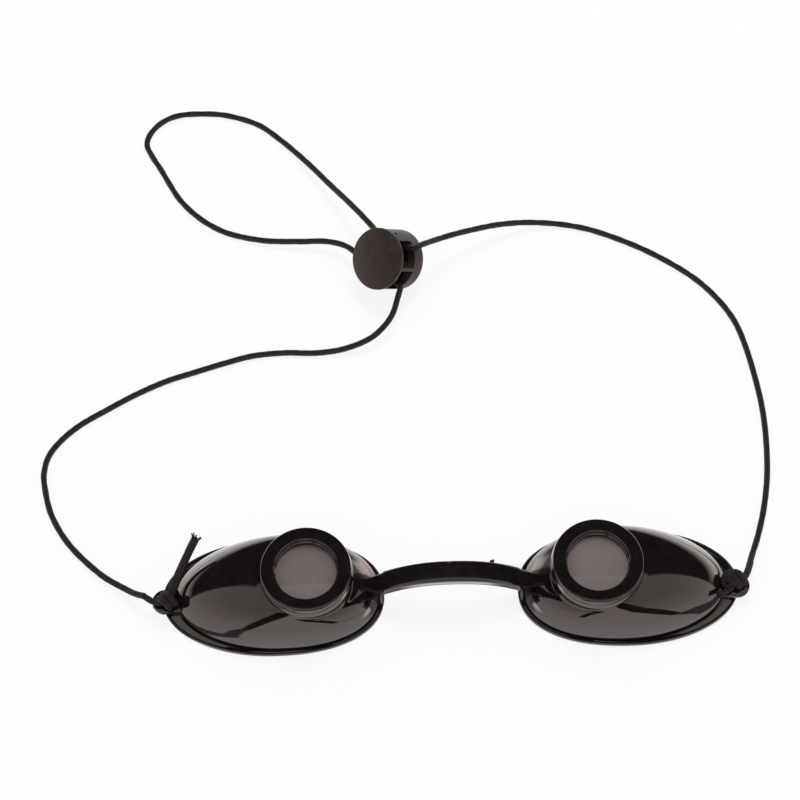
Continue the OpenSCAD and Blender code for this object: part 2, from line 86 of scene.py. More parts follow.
class Body(Enum):
    """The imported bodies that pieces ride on."""

    LEFT_SHIELD = "left_shield"
    RIGHT_SHIELD = "right_shield"
    PLUNGER = "lock_plunger"


class Side(Enum):
    """Which half of the goggles a piece belongs to, as the sign of its X."""

    LEFT = -1
    RIGHT = 1

    @property
    def label(self) -> str:
        """Gives the side's word for names."""
        return self.name.lower()

    @property
    def body(self) -> Body:
        """Gives the body that the side's pieces ride on."""
        return Body.LEFT_SHIELD if self is Side.LEFT else Body.RIGHT_SHIELD

    def mirrored(self, points: Sequence[Vector]) -> Ring:
        """Gives points of the right half, with X turned over on the left."""
        return [Vector((point.x * self.value, point.y, point.z)) for point in points]


class Join(Enum):
    """How one solid is worked into another."""

    ADD = "UNION"
    CUT = "DIFFERENCE"


def mm(x: float, y: float, z: float) -> Vector:
    """Turns millimetres into a point in metres."""
    return Vector((x * MM, y * MM, z * MM))


def round_angles(count: int, shift: float = 0.5) -> list[float]:
    """Gives evenly spaced angles round a circle, shifted by a share of their spacing."""
    return [math.tau * (i + shift) / count for i in range(count)]


def on_circle(centre: Pair, radius: float, angle: float, height: float) -> Vector:
    """Gives a point of a level circle, from millimetres and radians."""
    x, y = centre
    return mm(x + radius * math.cos(angle), y + radius * math.sin(angle), height)


def squared(value: float, power: float) -> float:
    """Raises a sine or cosine to a power, which squares a circle off where it is below 1."""
    return math.copysign(abs(value) ** power, value)


# Modelling by hand


def clear_selection() -> None:
    """Deselects everything, in object mode."""
    if bpy.context.mode != "OBJECT":
        bpy.ops.object.mode_set(mode="OBJECT")
    bpy.ops.object.select_all(action="DESELECT")


def pick(piece: Piece) -> None:
    """Makes one piece the selected and active one."""
    clear_selection()
    piece.select_set(True)
    bpy.context.view_layer.objects.active = piece


@contextmanager
def editing(piece: Piece) -> Iterator[None]:
    """Opens a piece in edit mode and closes it again.

    Args:
        piece: the mesh object.
    """
    pick(piece)
    bpy.ops.object.mode_set(mode="EDIT")
    try:
        yield
    finally:
        bpy.ops.object.mode_set(mode="OBJECT")


def place_key(point: Vector) -> tuple[int, ...]:
    """Rounds a point to the merging distance, to find it again."""
    return tuple(round(value / MERGE) for value in point)


def ring_skin(name: str, rings: Sequence[Ring], closed: bool = False) -> Piece:
    """Models a skin from a circle that is extruded once per ring, its points moved to the ring.

    Args:
        name: the piece's name.
        rings: rings of equally many points, in order.
        closed: whether the last ring joins the first; otherwise both ends are filled.

    Returns:
        The new object, with its faces outwards.
    """
    clear_selection()
    bpy.ops.mesh.primitive_circle_add(vertices=len(rings[0]), radius=1.0)
    piece = bpy.context.object
    piece.name = name
    with editing(piece):
        shape = bmesh.from_edit_mesh(piece.data)
        shape.verts.ensure_lookup_table()
        for vert, point in zip(shape.verts, rings[0]):
            vert.co = point
        bmesh.update_edit_mesh(piece.data)
        for last, ring in zip(rings, rings[1:]):
            index = {place_key(point): i for i, point in enumerate(last)}
            bpy.ops.mesh.extrude_region_move()
            shape = bmesh.from_edit_mesh(piece.data)
            for vert in shape.verts:
                if vert.select:
                    vert.co = ring[index[place_key(vert.co)]]
            bmesh.update_edit_mesh(piece.data)
        bpy.ops.mesh.select_all(action="SELECT")
        if closed:
            bpy.ops.mesh.remove_doubles(threshold=MERGE)
        else:
            bpy.ops.mesh.fill_holes(sides=0)
        bpy.ops.mesh.normals_make_consistent(inside=False)
    return piece


def lathe(name: str, profile: Profile, sides: int, closed: bool = False) -> Piece:
    """Turns a profile of radius and height, in millimetres, about the Z axis.

    Args:
        name: the piece's name.
        profile: radius and height of each ring.
        sides: points round each ring.
        closed: whether the profile is a loop that leaves a hole in the middle.

    Returns:
        The new object.
    """
    loop = profile + [profile[0]] if closed else profile
    angles = round_angles(sides, 0.0)
    rings = [[on_circle((0.0, 0.0), radius, a, height) for a in angles] for radius, height in loop]
    return ring_skin(name, rings, closed)


def rounded_box(
    name: str, low: Sequence[float], high: Sequence[float], bevel: float = 0.0
) -> Piece:
    """Models a box between two corners, in millimetres, with rounded edges.

    Args:
        name: the piece's name.
        low: its lowest corner.
        high: its highest corner.
        bevel: how far its edges are rounded.

    Returns:
        The new object.
    """
    clear_selection()
    bpy.ops.mesh.primitive_cube_add(size=1.0)
    piece = bpy.context.object
    piece.name = name
    size = [(b - a) * MM for a, b in zip(low, high)]
    middle = [(b + a) * MM / 2 for a, b in zip(low, high)]
    piece.data.transform(Matrix.Translation(middle) @ Matrix.Diagonal((*size, 1.0)))
    if bevel:
        with editing(piece):
            bpy.ops.mesh.select_all(action="SELECT")
            bpy.ops.mesh.bevel(offset=bevel * MM, segments=3, affect="EDGES")
    return piece


def pin(radius: float, depth: float, sides: int, place: Matrix) -> Piece:
    """Models a cylinder that cuts a hole.

    Args:
        radius: its radius in millimetres.
        depth: its length in millimetres.
        sides: its number of sides.
        place: the movement from the Z axis to its place.

    Returns:
        The cutting tool.
    """
    clear_selection()
    bpy.ops.mesh.primitive_cylinder_add(vertices=sides, radius=radius * MM, depth=depth * MM)
    tool = bpy.context.object
    tool.data.transform(place)
    return tool


def work_in(piece: Piece, tool: Piece, join: Join) -> None:
    """Adds one solid to another or cuts it away, and deletes the tool.

    Args:
        piece: the solid that stays.
        tool: the solid that is used up.
        join: whether it is added or cut away.
    """
    modifier = piece.modifiers.new("Work in", "BOOLEAN")
    modifier.object = tool
    modifier.operation = join.value
    modifier.solver = "EXACT"
    pick(piece)
    bpy.ops.object.modifier_apply(modifier=modifier.name)
    bpy.data.objects.remove(tool, do_unlink=True)


def shade(piece: Piece, angle: float) -> None:
    """Shades a piece smooth but for the edges sharper than an angle in degrees."""
    pick(piece)
    bpy.ops.object.shade_smooth_by_angle(angle=math.radians(angle))


def joined(name: str, parts: Sequence[Piece]) -> Piece:
    """Joins several meshes into one piece.

    Args:
        name: the piece's name.
        parts: the mesh objects.

    Returns:
        The joined object.
    """
    pick(parts[0])
    for part in parts[1:]:
        part.select_set(True)
    bpy.ops.object.join()
    piece = bpy.context.object
    piece.name = name
    return piece


def finish_piece(
    piece: Piece, material: Material, slot: str, body: Body | None, *nodes: str
) -> Piece:
    """Gives a piece its material, body and the nodes it stands for, and reports it.

    Args:
        piece: the finished mesh object.
        material: its finish.
        slot: not used.
        body: the body it rides on, or None if it rides on none.
        nodes: CAD nodes that it replaces.

    Returns:
        The same piece.
    """
    piece.data.materials.clear()
    piece.data.materials.append(material)
    if body is not None:
        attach(piece, body.value)
    if nodes:
        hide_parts(*nodes)
    LOG.info("%s: %d faces, %s", piece.name, len(piece.data.polygons), material.name)
    return piece


# Finishes

# The values between which nearly all of a noise lies
NOISE_MIDDLE = (0.3, 0.7)


class Graph:
    """Adds nodes to the tree of a material or of the world."""

    def __init__(self, tree: bpy.types.NodeTree) -> None:
        """Starts with a node tree."""
        self.tree = tree

    def feed(self, value: object, socket: Socket) -> None:
        """Gives an input its link or its constant.

        Args:
            value: an output socket or a constant.
            socket: the input.
        """
        if isinstance(value, bpy.types.NodeSocket):
            self.tree.links.new(value, socket)
        else:
            socket.default_value = value

    def fill(self, node: bpy.types.Node, **settings: object) -> None:
        """Sets a node up.

        Args:
            node: the node.
            settings: its inputs, by names with a capital and with underscores for spaces, and its
                other properties, whose names have no capital.
        """
        for key, value in settings.items():
            if key[0].isupper():
                self.feed(value, node.inputs[key.replace("_", " ")])
            else:
                setattr(node, key, value)

    def add(self, kind: str, **settings: object) -> bpy.types.Node:
        """Adds a node.

        Args:
            kind: the node's type.
            settings: what fill sets on it.

        Returns:
            The node.
        """
        node = self.tree.nodes.new(kind)
        self.fill(node, **settings)
        return node

    def math(self, operation: str, first: Value, second: Value = 0.0) -> Socket:
        """Works out one sum.

        Args:
            operation: the math node's operation.
            first: a socket or a number.
            second: a socket or a number.

        Returns:
            The result's socket.
        """
        node = self.add("ShaderNodeMath", operation=operation)
        self.feed(first, node.inputs[0])
        self.feed(second, node.inputs[1])
        return node.outputs["Value"]

    def total(self, first: Value, *others: Value) -> Value:
        """Adds several values up."""
        for term in others:
            first = self.math("ADD", first, term)
        return first

    def product(self, first: Value, *others: Value) -> Value:
        """Multiplies several values."""
        for factor in others:
            first = self.math("MULTIPLY", first, factor)
        return first

    def less(self, first: Value, second: Value) -> Socket:
        """Takes the second value from the first."""
        return self.math("SUBTRACT", first, second)

    def remap(self, source: Socket, start: Pair, result: Pair, smooth: bool = False) -> Socket:
        """Maps one range of values to another and holds it at its ends.

        Args:
            source: the value.
            start: the range that comes in.
            result: the range that goes out.
            smooth: whether the ends are eased.

        Returns:
            The mapped value's socket.
        """
        node = self.add(
            "ShaderNodeMapRange",
            interpolation_type="SMOOTHSTEP" if smooth else "LINEAR",
            Value=source,
            From_Min=start[0],
            From_Max=start[1],
            To_Min=result[0],
            To_Max=result[1],
        )
        return node.outputs["Result"]

    def rise(self, source: Socket, low: float, high: float) -> Socket:
        """Rises smoothly from 0 to 1 between two values."""
        return self.remap(source, (low, high), (0.0, 1.0), smooth=True)

    def fall(self, source: Socket, low: float, high: float) -> Socket:
        """Falls smoothly from 1 to 0 between two values."""
        return self.remap(source, (low, high), (1.0, 0.0), smooth=True)

    def weighed(self, x: Socket, values: Sequence[Value], weights: Sequence[Pair]) -> Value:
        """Adds values up, each with one weight on the left and another on the right.

        Args:
            x: below 0 on the left and above it on the right.
            values: sockets or numbers.
            weights: the left and the right weight of each.

        Returns:
            The sum's socket.
        """
        seam = (-0.001, 0.001)
        terms = [self.product(v, self.remap(x, seam, pair)) for v, pair in zip(values, weights)]
        return self.total(*terms)

    def choose(self, switch: Socket, off: Value, on: Value) -> Socket:
        """Gives one value where a switch is 0 and another where it is 1."""
        mix = self.add("ShaderNodeMix", data_type="FLOAT", Factor=switch, A=off, B=on)
        return mix.outputs["Result"]

    def glow(self, colour: Triple, strength: Value) -> Socket:
        """Adds a plain glow and gives its shader's socket."""
        node = self.add("ShaderNodeEmission", Color=(*colour, 1.0), Strength=strength)
        return node.outputs["Emission"]

    def split(self, source: Socket) -> tuple[Socket, ...]:
        """Gives the three parts of a vector."""
        return tuple(self.add("ShaderNodeSeparateXYZ", Vector=source).outputs)


def new_material(name: str) -> Material:
    """Makes a material with a node tree."""
    material = bpy.data.materials.new(name)
    material.use_nodes = True
    return material


class Nodes(Graph):
    """Builds one piece's material with few words."""

    def __init__(self, name: str, **constants: object) -> None:
        """Starts a material with a principled shader.

        Args:
            name: the material's name.
            constants: what set puts on the shader.
        """
        self.material = new_material(name)
        super().__init__(self.material.node_tree)
        self.coords = self.add("ShaderNodeTexCoord")
        self.set(**constants)

    def set(self, **values: object) -> None:
        """Sets or links the shader's inputs, by names with underscores for spaces."""
        self.fill(self.tree.nodes["Principled BSDF"], **values)

    def noise(self, scale: float, detail: float = 2.0, rough: float = 0.5) -> Socket:
        """Adds noise on Object coordinates.

        Args:
            scale: repeats per metre.
            detail: octaves.
            rough: how strongly the finer octaves show.

        Returns:
            The noise's value socket.
        """
        node = self.add("ShaderNodeTexNoise", Scale=scale, Detail=detail, Roughness=rough)
        self.feed(self.coords.outputs["Object"], node.inputs["Vector"])
        return node.outputs["Fac"]

    def spread(self, source: Socket, result: Pair) -> Socket:
        """Maps the middle of a noise to a range."""
        return self.remap(source, NOISE_MIDDLE, result)

    def ramp(self, source: Socket, start: Pair, dark: Triple, light: Triple) -> Socket:
        """Turns a value into a colour.

        Args:
            source: the value.
            start: the values that give the dark and the light colour.
            dark: the first colour.
            light: the last colour.

        Returns:
            The colour's socket.
        """
        node = self.add("ShaderNodeValToRGB", Fac=source)
        for element, place, colour in zip(node.color_ramp.elements, start, (dark, light)):
            element.position = place
            element.color = (*colour, 1.0)
        return node.outputs["Color"]

    def bump(
        self, height: Socket, distance: float, strength: float, under: Socket | None = None
    ) -> Socket:
        """Adds a bump, on top of another if given.

        Args:
            height: the height's socket.
            distance: the height of the relief in metres.
            strength: how much of it is used.
            under: the normal below it.

        Returns:
            The normal's socket.
        """
        node = self.add("ShaderNodeBump", Height=height, Distance=distance, Strength=strength)
        if under is not None:
            self.feed(under, node.inputs["Normal"])
        return node.outputs["Normal"]


@dataclass(frozen=True)
class GlossyMoulding:
    """Black moulded plastic with a mirror-like skin, faint sink ripples and handling haze.

    A satin share roughens the far nose side, and painted shade dims the reflections at the strap's
    foot.
    Their places are in metres: beside the middle, away from the camera and up. A noise is given by
    its scale, octaves and roughness, and its relief by depth and strength.
    """

    name: str
    dark: Triple = (0.0058, 0.0043, 0.0041)
    light: Triple = (0.0105, 0.0078, 0.0074)
    tint: Triple = (1.0, 0.84, 0.82)
    ior: float = 1.8
    plain_level: float = 0.5
    haze: Triple = (260.0, 4.0, 0.6)
    haze_range: Pair = (0.35, 0.7)
    roughness: Pair = (0.03, 0.07)
    sink: Pair = (70.0, 1.0)
    sink_relief: Pair = (0.00002, 0.35)
    pores: Pair = (5200.0, 2.0)
    pore_relief: Pair = (0.000004, 0.12)
    satin: float = 0.0
    satin_end: Pair = (0.030, 0.037)
    satin_edge: Pair = (0.0, 0.003)
    shaded_foot: float = 0.0
    shaded_half: float = 0.0024
    shaded_edge: float = 0.0008
    foot_start: Pair = (0.0125, 0.0145)
    foot_end: Pair = (0.0235, 0.0265)
    foot_bottom: Pair = (0.0045, 0.0055)
    lobe_start: Pair = (0.0185, 0.0225)
    lobe_edge: Pair = (-0.001, 0.0)
    lobe_reach: float = 0.0018

    def foot_shade_mask(self, nodes: Nodes, beside: Socket, y: Socket, z: Socket) -> Value:
        """Masks the painted shade at the strap's foot, with a lobe on its near side.

        Args:
            nodes: the material's nodes.
            beside: the distance from the middle.
            y: the distance away from the camera.
            z: the height.

        Returns:
            A value of 1 on the foot and 0 elsewhere.
        """
        near = nodes.remap(y, self.lobe_edge, (self.lobe_reach, 0.0))
        lobe = nodes.product(nodes.rise(beside, *self.lobe_start), near)
        across = nodes.less(nodes.math("ABSOLUTE", y), lobe)
        return nodes.product(
            nodes.fall(across, self.shaded_half, self.shaded_half + self.shaded_edge),
            nodes.fall(beside, *self.foot_end),
            nodes.rise(beside, *self.foot_start),
            nodes.rise(z, *self.foot_bottom),
        )

    def build(self) -> Material:
        """Makes the material."""
        nodes = Nodes(self.name, IOR=self.ior, Specular_Tint=(*self.tint, 1.0))
        haze = nodes.noise(*self.haze)
        x, y, z = nodes.split(nodes.coords.outputs["Object"])
        beside = nodes.math("ABSOLUTE", x)
        nose_side = nodes.remap(beside, self.satin_end, (self.satin, 0.0), smooth=True)
        worn = nodes.product(nose_side, nodes.rise(y, *self.satin_edge))
        sink = nodes.bump(nodes.noise(*self.sink), *self.sink_relief)
        nodes.set(
            Base_Color=nodes.ramp(haze, self.haze_range, self.dark, self.light),
            Roughness=nodes.total(nodes.spread(haze, self.roughness), worn),
            Normal=nodes.bump(nodes.noise(*self.pores), *self.pore_relief, sink),
        )
        # Painted shade: the reflections are dimmed on the strap's foot and on the lobe beside it.
        if self.shaded_foot:
            painted_shade = self.foot_shade_mask(nodes, beside, y, z)
            levels = (self.plain_level, self.shaded_foot)
            nodes.set(Specular_IOR_Level=nodes.remap(painted_shade, (0.0, 1.0), levels))
        return nodes.material


@dataclass(frozen=True)
class MatteMoulding:
    """Dark plastic with the fine grain of an etched mould, polished where it is handled."""

    name: str
    dark: Triple = (0.0245, 0.0175, 0.0158)
    light: Triple = (0.041, 0.03, 0.0272)
    tint: Triple = (1.0, 0.84, 0.82)
    ior: float = 1.5
    mirror_level: float = 0.14
    handling: Triple = (420.0, 5.0, 0.6)
    roughness: Pair = (0.5, 0.62)
    etching: float = 900.0
    etching_relief: Pair = (0.00003, 0.15)
    grain: float = 3800.0
    grain_relief: Pair = (0.00003, 0.3)

    def build(self) -> Material:
        """Makes the material."""
        tint = (*self.tint, 1.0)
        nodes = Nodes(
            self.name, IOR=self.ior, Specular_IOR_Level=self.mirror_level, Specular_Tint=tint
        )
        cloud = nodes.noise(*self.handling)
        etching = nodes.bump(nodes.noise(self.etching), *self.etching_relief)
        nodes.set(
            Base_Color=nodes.ramp(cloud, NOISE_MIDDLE, self.dark, self.light),
            Roughness=nodes.spread(cloud, self.roughness),
            Normal=nodes.bump(nodes.noise(self.grain), *self.grain_relief, etching),
        )
        return nodes.material


@dataclass(frozen=True)
class SmokedFilter:
    """Dark mauve filter glass with a polished skin and a few specks of dust."""

    name: str
    deep: Triple = (0.172, 0.136, 0.137)
    pale: Triple = (0.205, 0.164, 0.165)
    ior: float = 1.52
    cloud: float = 110.0
    dust: Pair = (1500.0, 3.0)
    roughness: Pair = (0.025, 0.05)

    def build(self) -> Material:
        """Makes the material."""
        nodes = Nodes(self.name, IOR=self.ior)
        nodes.set(
            Base_Color=nodes.ramp(nodes.noise(self.cloud), NOISE_MIDDLE, self.deep, self.pale),
            Roughness=nodes.spread(nodes.noise(*self.dust), self.roughness),
        )
        return nodes.material


@dataclass(frozen=True)
class BraidedElastic:
    """Round braided elastic: two crossing sets of dark yarns over a rubber core."""

    name: str
    # Colour in the grooves between the yarns: painted shade
    groove_shade: Triple = (0.0058, 0.0042, 0.0039)
    yarn: Triple = (0.0245, 0.0172, 0.0158)
    yarn_range: Pair = (0.2, 0.9)
    mirror_level: float = 0.3
    sheen: Triple = (0.6, 0.45, 0.42)
    sheen_weight: float = 0.06
    sheen_roughness: float = 0.4
    yarns: float = 8.0
    slant: float = 2.0
    weave_relief: Pair = (0.00006, 0.7)
    fibre: Triple = (5200.0, 3.0, 0.7)
    fibre_shade: Pair = (0.55, 1.1)
    fibre_relief: Pair = (0.00004, 0.4)
    roughness: Pair = (0.62, 0.85)

    def build(self) -> Material:
        """Makes the material."""
        nodes = Nodes(
            self.name,
            Specular_IOR_Level=self.mirror_level,
            Sheen_Weight=self.sheen_weight,
            Sheen_Roughness=self.sheen_roughness,
            Sheen_Tint=(*self.sheen, 1.0),
        )
        u, v, _ = nodes.split(nodes.coords.outputs["UV"])
        around = nodes.product(u, self.yarns * math.tau)
        along = nodes.product(v, self.slant * math.tau)
        rising = nodes.math("SINE", nodes.total(around, along))
        falling = nodes.math("SINE", nodes.less(around, along))
        weave = nodes.total(nodes.product(nodes.math("MAXIMUM", rising, falling), 0.5), 0.5)
        fibre = nodes.noise(*self.fibre)
        mixed = nodes.product(weave, nodes.spread(fibre, self.fibre_shade))
        fuzz = nodes.bump(fibre, *self.fibre_relief)
        # The base colour darkens in the grooves between the yarns: painted shade
        nodes.set(
            Base_Color=nodes.ramp(mixed, self.yarn_range, self.groove_shade, self.yarn),
            Roughness=nodes.spread(fibre, self.roughness),
            Normal=nodes.bump(weave, *self.weave_relief, fuzz),
        )
        return nodes.material


@dataclass(frozen=True)
class DrawnWire:
    """Bright drawn spring wire."""

    name: str
    dark: Triple = (0.42, 0.42, 0.43)
    light: Triple = (0.62, 0.62, 0.63)
    lines: Triple = (2600.0, 3.0, 0.7)
    roughness: Pair = (0.22, 0.4)

    def build(self) -> Material:
        """Makes the material."""
        nodes = Nodes(self.name, Metallic=1.0)
        lines = nodes.noise(*self.lines)
        nodes.set(
            Base_Color=nodes.ramp(lines, NOISE_MIDDLE, self.dark, self.light),
            Roughness=nodes.spread(lines, self.roughness),
        )
        return nodes.material


# The goggles


@dataclass
class EyeCup:
    """One opaque cup: rim with its bead, dome, collar for the lens, bridge foot and eyelet lug."""

    side: Side
    nose_gap: float = 32.0
    length: float = 53.0
    width: float = 29.8
    fullness: float = 2.3
    rim_width: float = 0.9
    rim_temple_width: float = 2.6
    rim_thickness: float = 0.9
    bead_height: float = 0.4
    bead_width: float = 0.5
    wall: float = 1.4
    top_temple: float = 12.6
    top_nasal: float = 6.4
    top_ease: float = 0.012
    top_power: float = 0.4
    toe_height: float = 0.06
    toe_temple_height: float = 0.75
    fillet: float = 0.2
    fillet_foot: float = 0.05
    dome_inset: float = 0.5
    collar_radius: float = 10.55
    collar_flare: float = 0.5
    # How far the collar's root stands out of the collar and above the dome, ring by ring
    collar_root: tuple = ((0.22, 0.12), (0.05, 0.32), (0.0, 0.55))
    lip_overhang: float = 0.45
    lip_bottom: float = 12.9
    pocket_radius: float = 9.35
    ledge_thickness: float = 1.0
    view_radius: float = 7.6
    under_radius: float = 9.0
    sides: int = 160
    outer_steps: int = 26
    inner_steps: int = 16
    halvings: int = 24
    crease: float = 34.0
    # Each ring of the strap's foot: place along, bottom, top, half width and flare at the bottom
    foot_stations: tuple = (
        (-0.25, 5.95, 8.88, 2.58, 0.0),
        (0.0, 5.3, 8.74, 2.58, 0.0),
        (0.1, 3.6, 8.68, 2.58, 0.2),
        (0.35, 1.6, 8.52, 2.57, 0.7),
        (0.7, 0.4, 8.3, 2.54, 1.1),
        (1.3, 0.4, 7.98, 2.46, 1.3),
        (2.1, 0.5, 7.62, 2.28, 1.2),
        (2.9, 0.7, 7.34, 2.06, 1.0),
        (3.7, 1.6, 7.18, 1.86, 0.7),
        (4.5, 2.4, 7.1, 1.77, 0.4),
        (5.3, 3.0, 7.12, 1.83, 0.2),
        (6.1, 3.6, 7.18, 1.97, 0.1),
        (6.9, 4.2, 7.2, 2.05, 0.0),
        (8.2, 5.0, 7.2, 1.95, 0.0),
    )
    foot_inset: float = 0.2
    foot_corners: int = 40
    foot_squareness: Pair = (0.34, 0.3)
    lug_radius: float = 3.0
    lug_top: float = 3.625
    lug_back: float = 64.4
    hole_radius: float = 1.1
    cord_room: float = 0.95
    root_low: Triple = (64.9, -4.4, 0.45)
    root_high: Triple = (66.9, 1.6, 3.0)
    root_bevel: float = 0.15
    drill_low: float = -1.0
    drill_high: float = 5.0
    drill_sides: int = 48

    @property
    def centre_x(self) -> float:
        """Gives the middle of the rim."""
        return self.nose_gap / 2 + self.length / 2

    @property
    def angles(self) -> list[float]:
        """Gives the angles of the points round every ring."""
        return round_angles(self.sides)

    def outline(self, angle: float, half_length: float, half_width: float) -> Pair:
        """Gives a point of the oval, an ellipse at the temple and fuller at the nose.

        Args:
            angle: the point's angle in radians.
            half_length: half the oval's length.
            half_width: half its width.

        Returns:
            Its X and Y about the oval's middle.
        """
        c, s = math.cos(angle), math.sin(angle)
        power = 2 / (self.fullness if c < 0 else 2)
        return half_length * squared(c, power), half_width * squared(s, power)

    def rim_ring(self, inset: float, height: float) -> Ring:
        """Gives a ring of the flat rim.

        Args:
            inset: how far it lies inside the rim's edge.
            height: its height.

        Returns:
            Its points.
        """
        points = []
        for angle in self.angles:
            x, y = self.outline(angle, self.length / 2 - inset, self.width / 2 - inset)
            points.append(mm(self.centre_x + x, y, height))
        return points

    def dome_top(self, angle: float) -> float:
        """Gives the height at which the dome meets the collar, lowest at the nose."""
        share = ((1 + math.cos(angle)) / 2 + self.top_ease) / (1 + self.top_ease)
        return self.top_nasal + (self.top_temple - self.top_nasal) * share**self.top_power

    def toe_level(self, angle: float) -> float:
        """Gives the height at which the dome leaves the rim, highest at the temple."""
        lift = self.toe_temple_height * max(0.0, math.cos(angle)) ** 1.2
        return self.rim_thickness + self.toe_height + lift

    def dome_point(self, angle: float, rise: float, inset: float) -> Vector:
        """Gives a point of the dome between its base oval and the collar's circle.

        Args:
            angle: the point's angle.
            rise: from 0 at the base to a quarter turn at the collar, in radians.
            inset: how far inside the outer skin it lies.

        Returns:
            The point in millimetres.
        """
        half_length = self.length / 2 - (self.rim_width + self.rim_temple_width) / 2 - inset
        half_width = self.width / 2 - self.rim_width - inset
        shift = (self.rim_width - self.rim_temple_width) / 2
        x, y = self.outline(angle, half_length, half_width)
        base = Vector((self.centre_x + shift + x, y, 0.0))
        reach = self.collar_radius - self.dome_inset - inset
        axis_x, axis_y = LENS_AXIS
        crown = Vector((axis_x + reach * math.cos(angle), axis_y + reach * math.sin(angle), 0.0))
        share = 1 - math.cos(rise)
        point = base * (1 - share) + crown * share
        point.z = (self.dome_top(angle) - inset) * math.sin(rise)
        return point

    def within(self, point: Vector, radius: float) -> bool:
        """Tells whether a point in millimetres is nearer to the lens axis than a radius."""
        return math.hypot(point.x - LENS_AXIS[0], point.y - LENS_AXIS[1]) < radius

    def rises(self, inset: float, passed: Callable[[Vector, float], bool]) -> list[float]:
        """Finds how far up the dome a limit is reached, by halving, at each angle.

        Args:
            inset: which skin it is on.
            passed: tells whether a point at an angle is beyond the limit.

        Returns:
            The rises there, in radians.
        """
        found = []
        for angle in self.angles:
            low, high = 0.0, math.pi / 2
            for _ in range(self.halvings):
                middle = (low + high) / 2
                if passed(self.dome_point(angle, middle, inset), angle):
                    high = middle
                else:
                    low = middle
            found.append(low)
        return found

    def dome_line(self, rises: Sequence[float], inset: float = 0.0) -> Ring:
        """Gives a line round the dome, in millimetres.

        Args:
            rises: the rise at each angle.
            inset: which skin it is on.

        Returns:
            Its points.
        """
        return [self.dome_point(angle, rise, inset) for angle, rise in zip(self.angles, rises)]

    def dome_rings(
        self, inset: float, steps: int, starts: Sequence[float], ends: Sequence[float]
    ) -> list[Ring]:
        """Gives rings up the dome.

        Args:
            inset: which skin they are on.
            steps: how many rings follow the first.
            starts: the rise of the first ring at each angle.
            ends: the rise of the last ring at each angle.

        Returns:
            The rings, in metres.
        """
        rings = []
        for step in range(steps + 1):
            rises = [start + (end - start) * (step / steps) for start, end in zip(starts, ends)]
            rings.append([point * MM for point in self.dome_line(rises, inset)])
        return rings

    def outer_foot(self) -> list[Ring]:
        """Gives the rings of the fillet between the rim and the dome, from the rim inwards."""
        toe = self.dome_line(self.rises(0.0, lambda p, a: p.z > self.toe_level(a)))
        outwards = []
        for before, after in zip([toe[-1], *toe], [*toe[1:], toe[0]]):
            tangent = Vector((after.x - before.x, after.y - before.y, 0.0)).normalized()
            outwards.append(Vector((tangent.y, -tangent.x, 0.0)))
        return [
            [(p + o * out + Vector((0, 0, up))) * MM for p, o in zip(toe, outwards)]
            for out, up in ((self.fillet, 0.0), (self.fillet_foot, self.fillet_foot))
        ]

    def rim_profile(self) -> Profile:
        """Gives the rim's edge and bead, from underneath, as insets and heights."""
        flat, width = self.rim_thickness, self.bead_width
        bead = flat + self.bead_height
        return [
            (0.25, 0.0), (0.06, 0.06), (0.0, 0.25), (0.0, bead - 0.22), (0.06, bead - 0.06),
            (0.18, bead), (width - 0.18, bead), (width - 0.06, bead - 0.06), (width, bead - 0.2),
            (width + 0.02, flat + 0.08), (width + 0.1, flat),
        ]

    def collar_profile(self) -> Profile:
        """Gives the collar, its lip, the lens's pocket and the ledge, as radii and heights."""
        collar, lip = self.collar_radius, self.collar_radius + self.lip_overhang
        pocket, view = self.pocket_radius, self.view_radius
        low, ledge = self.lip_bottom, SEAT_HEIGHT - self.ledge_thickness
        return [
            (collar, low - 0.12), (collar + 0.05, low - 0.03), (collar + 0.12, low), (lip, low),
            (lip + 0.09, low + 0.06), (lip + 0.12, low + 0.2), (lip + 0.02, LIP_TOP - 0.9),
            (lip - 0.16, LIP_TOP - 0.25), (lip - 0.24, LIP_TOP - 0.08), (lip - 0.36, LIP_TOP),
            (pocket + 0.1, LIP_TOP), (pocket, LIP_TOP - 0.1), (pocket, SEAT_HEIGHT),
            (view + 0.08, SEAT_HEIGHT), (view, SEAT_HEIGHT - 0.08), (view, ledge + 0.08),
            (view + 0.08, ledge), (self.under_radius - 0.15, ledge),
        ]

    def shell_rings(self) -> list[Ring]:
        """Gives the shell's rings, from under the rim, over the dome, into the cup and back."""
        rings = [self.rim_ring(inset, height) for inset, height in self.rim_profile()]
        rings += self.outer_foot()
        starts = self.rises(0.0, lambda p, a: p.z > self.toe_level(a) + self.fillet)
        ends = self.rises(0.0, lambda p, a: self.within(p, self.collar_radius + self.collar_flare))
        rings += self.dome_rings(0.0, self.outer_steps, starts, ends)
        tops = self.dome_line(ends)
        bearings = [math.atan2(p.y - LENS_AXIS[1], p.x - LENS_AXIS[0]) for p in tops]
        for out, up in self.collar_root:
            radius = self.collar_radius + out
            rings.append(
                [on_circle(LENS_AXIS, radius, b, top.z + up) for b, top in zip(bearings, tops)]
            )
        for radius, height in self.collar_profile():
            rings.append([on_circle(LENS_AXIS, radius, b, height) for b in bearings])
        ceiling = SEAT_HEIGHT - self.ledge_thickness - 0.15
        inner = self.rises(
            self.wall, lambda p, a: self.within(p, self.under_radius + 0.2) or p.z > ceiling
        )
        rings += self.dome_rings(self.wall, self.inner_steps, inner, [0.0] * self.sides)
        rings.append(rings[0])
        return [self.side.mirrored(ring) for ring in rings]

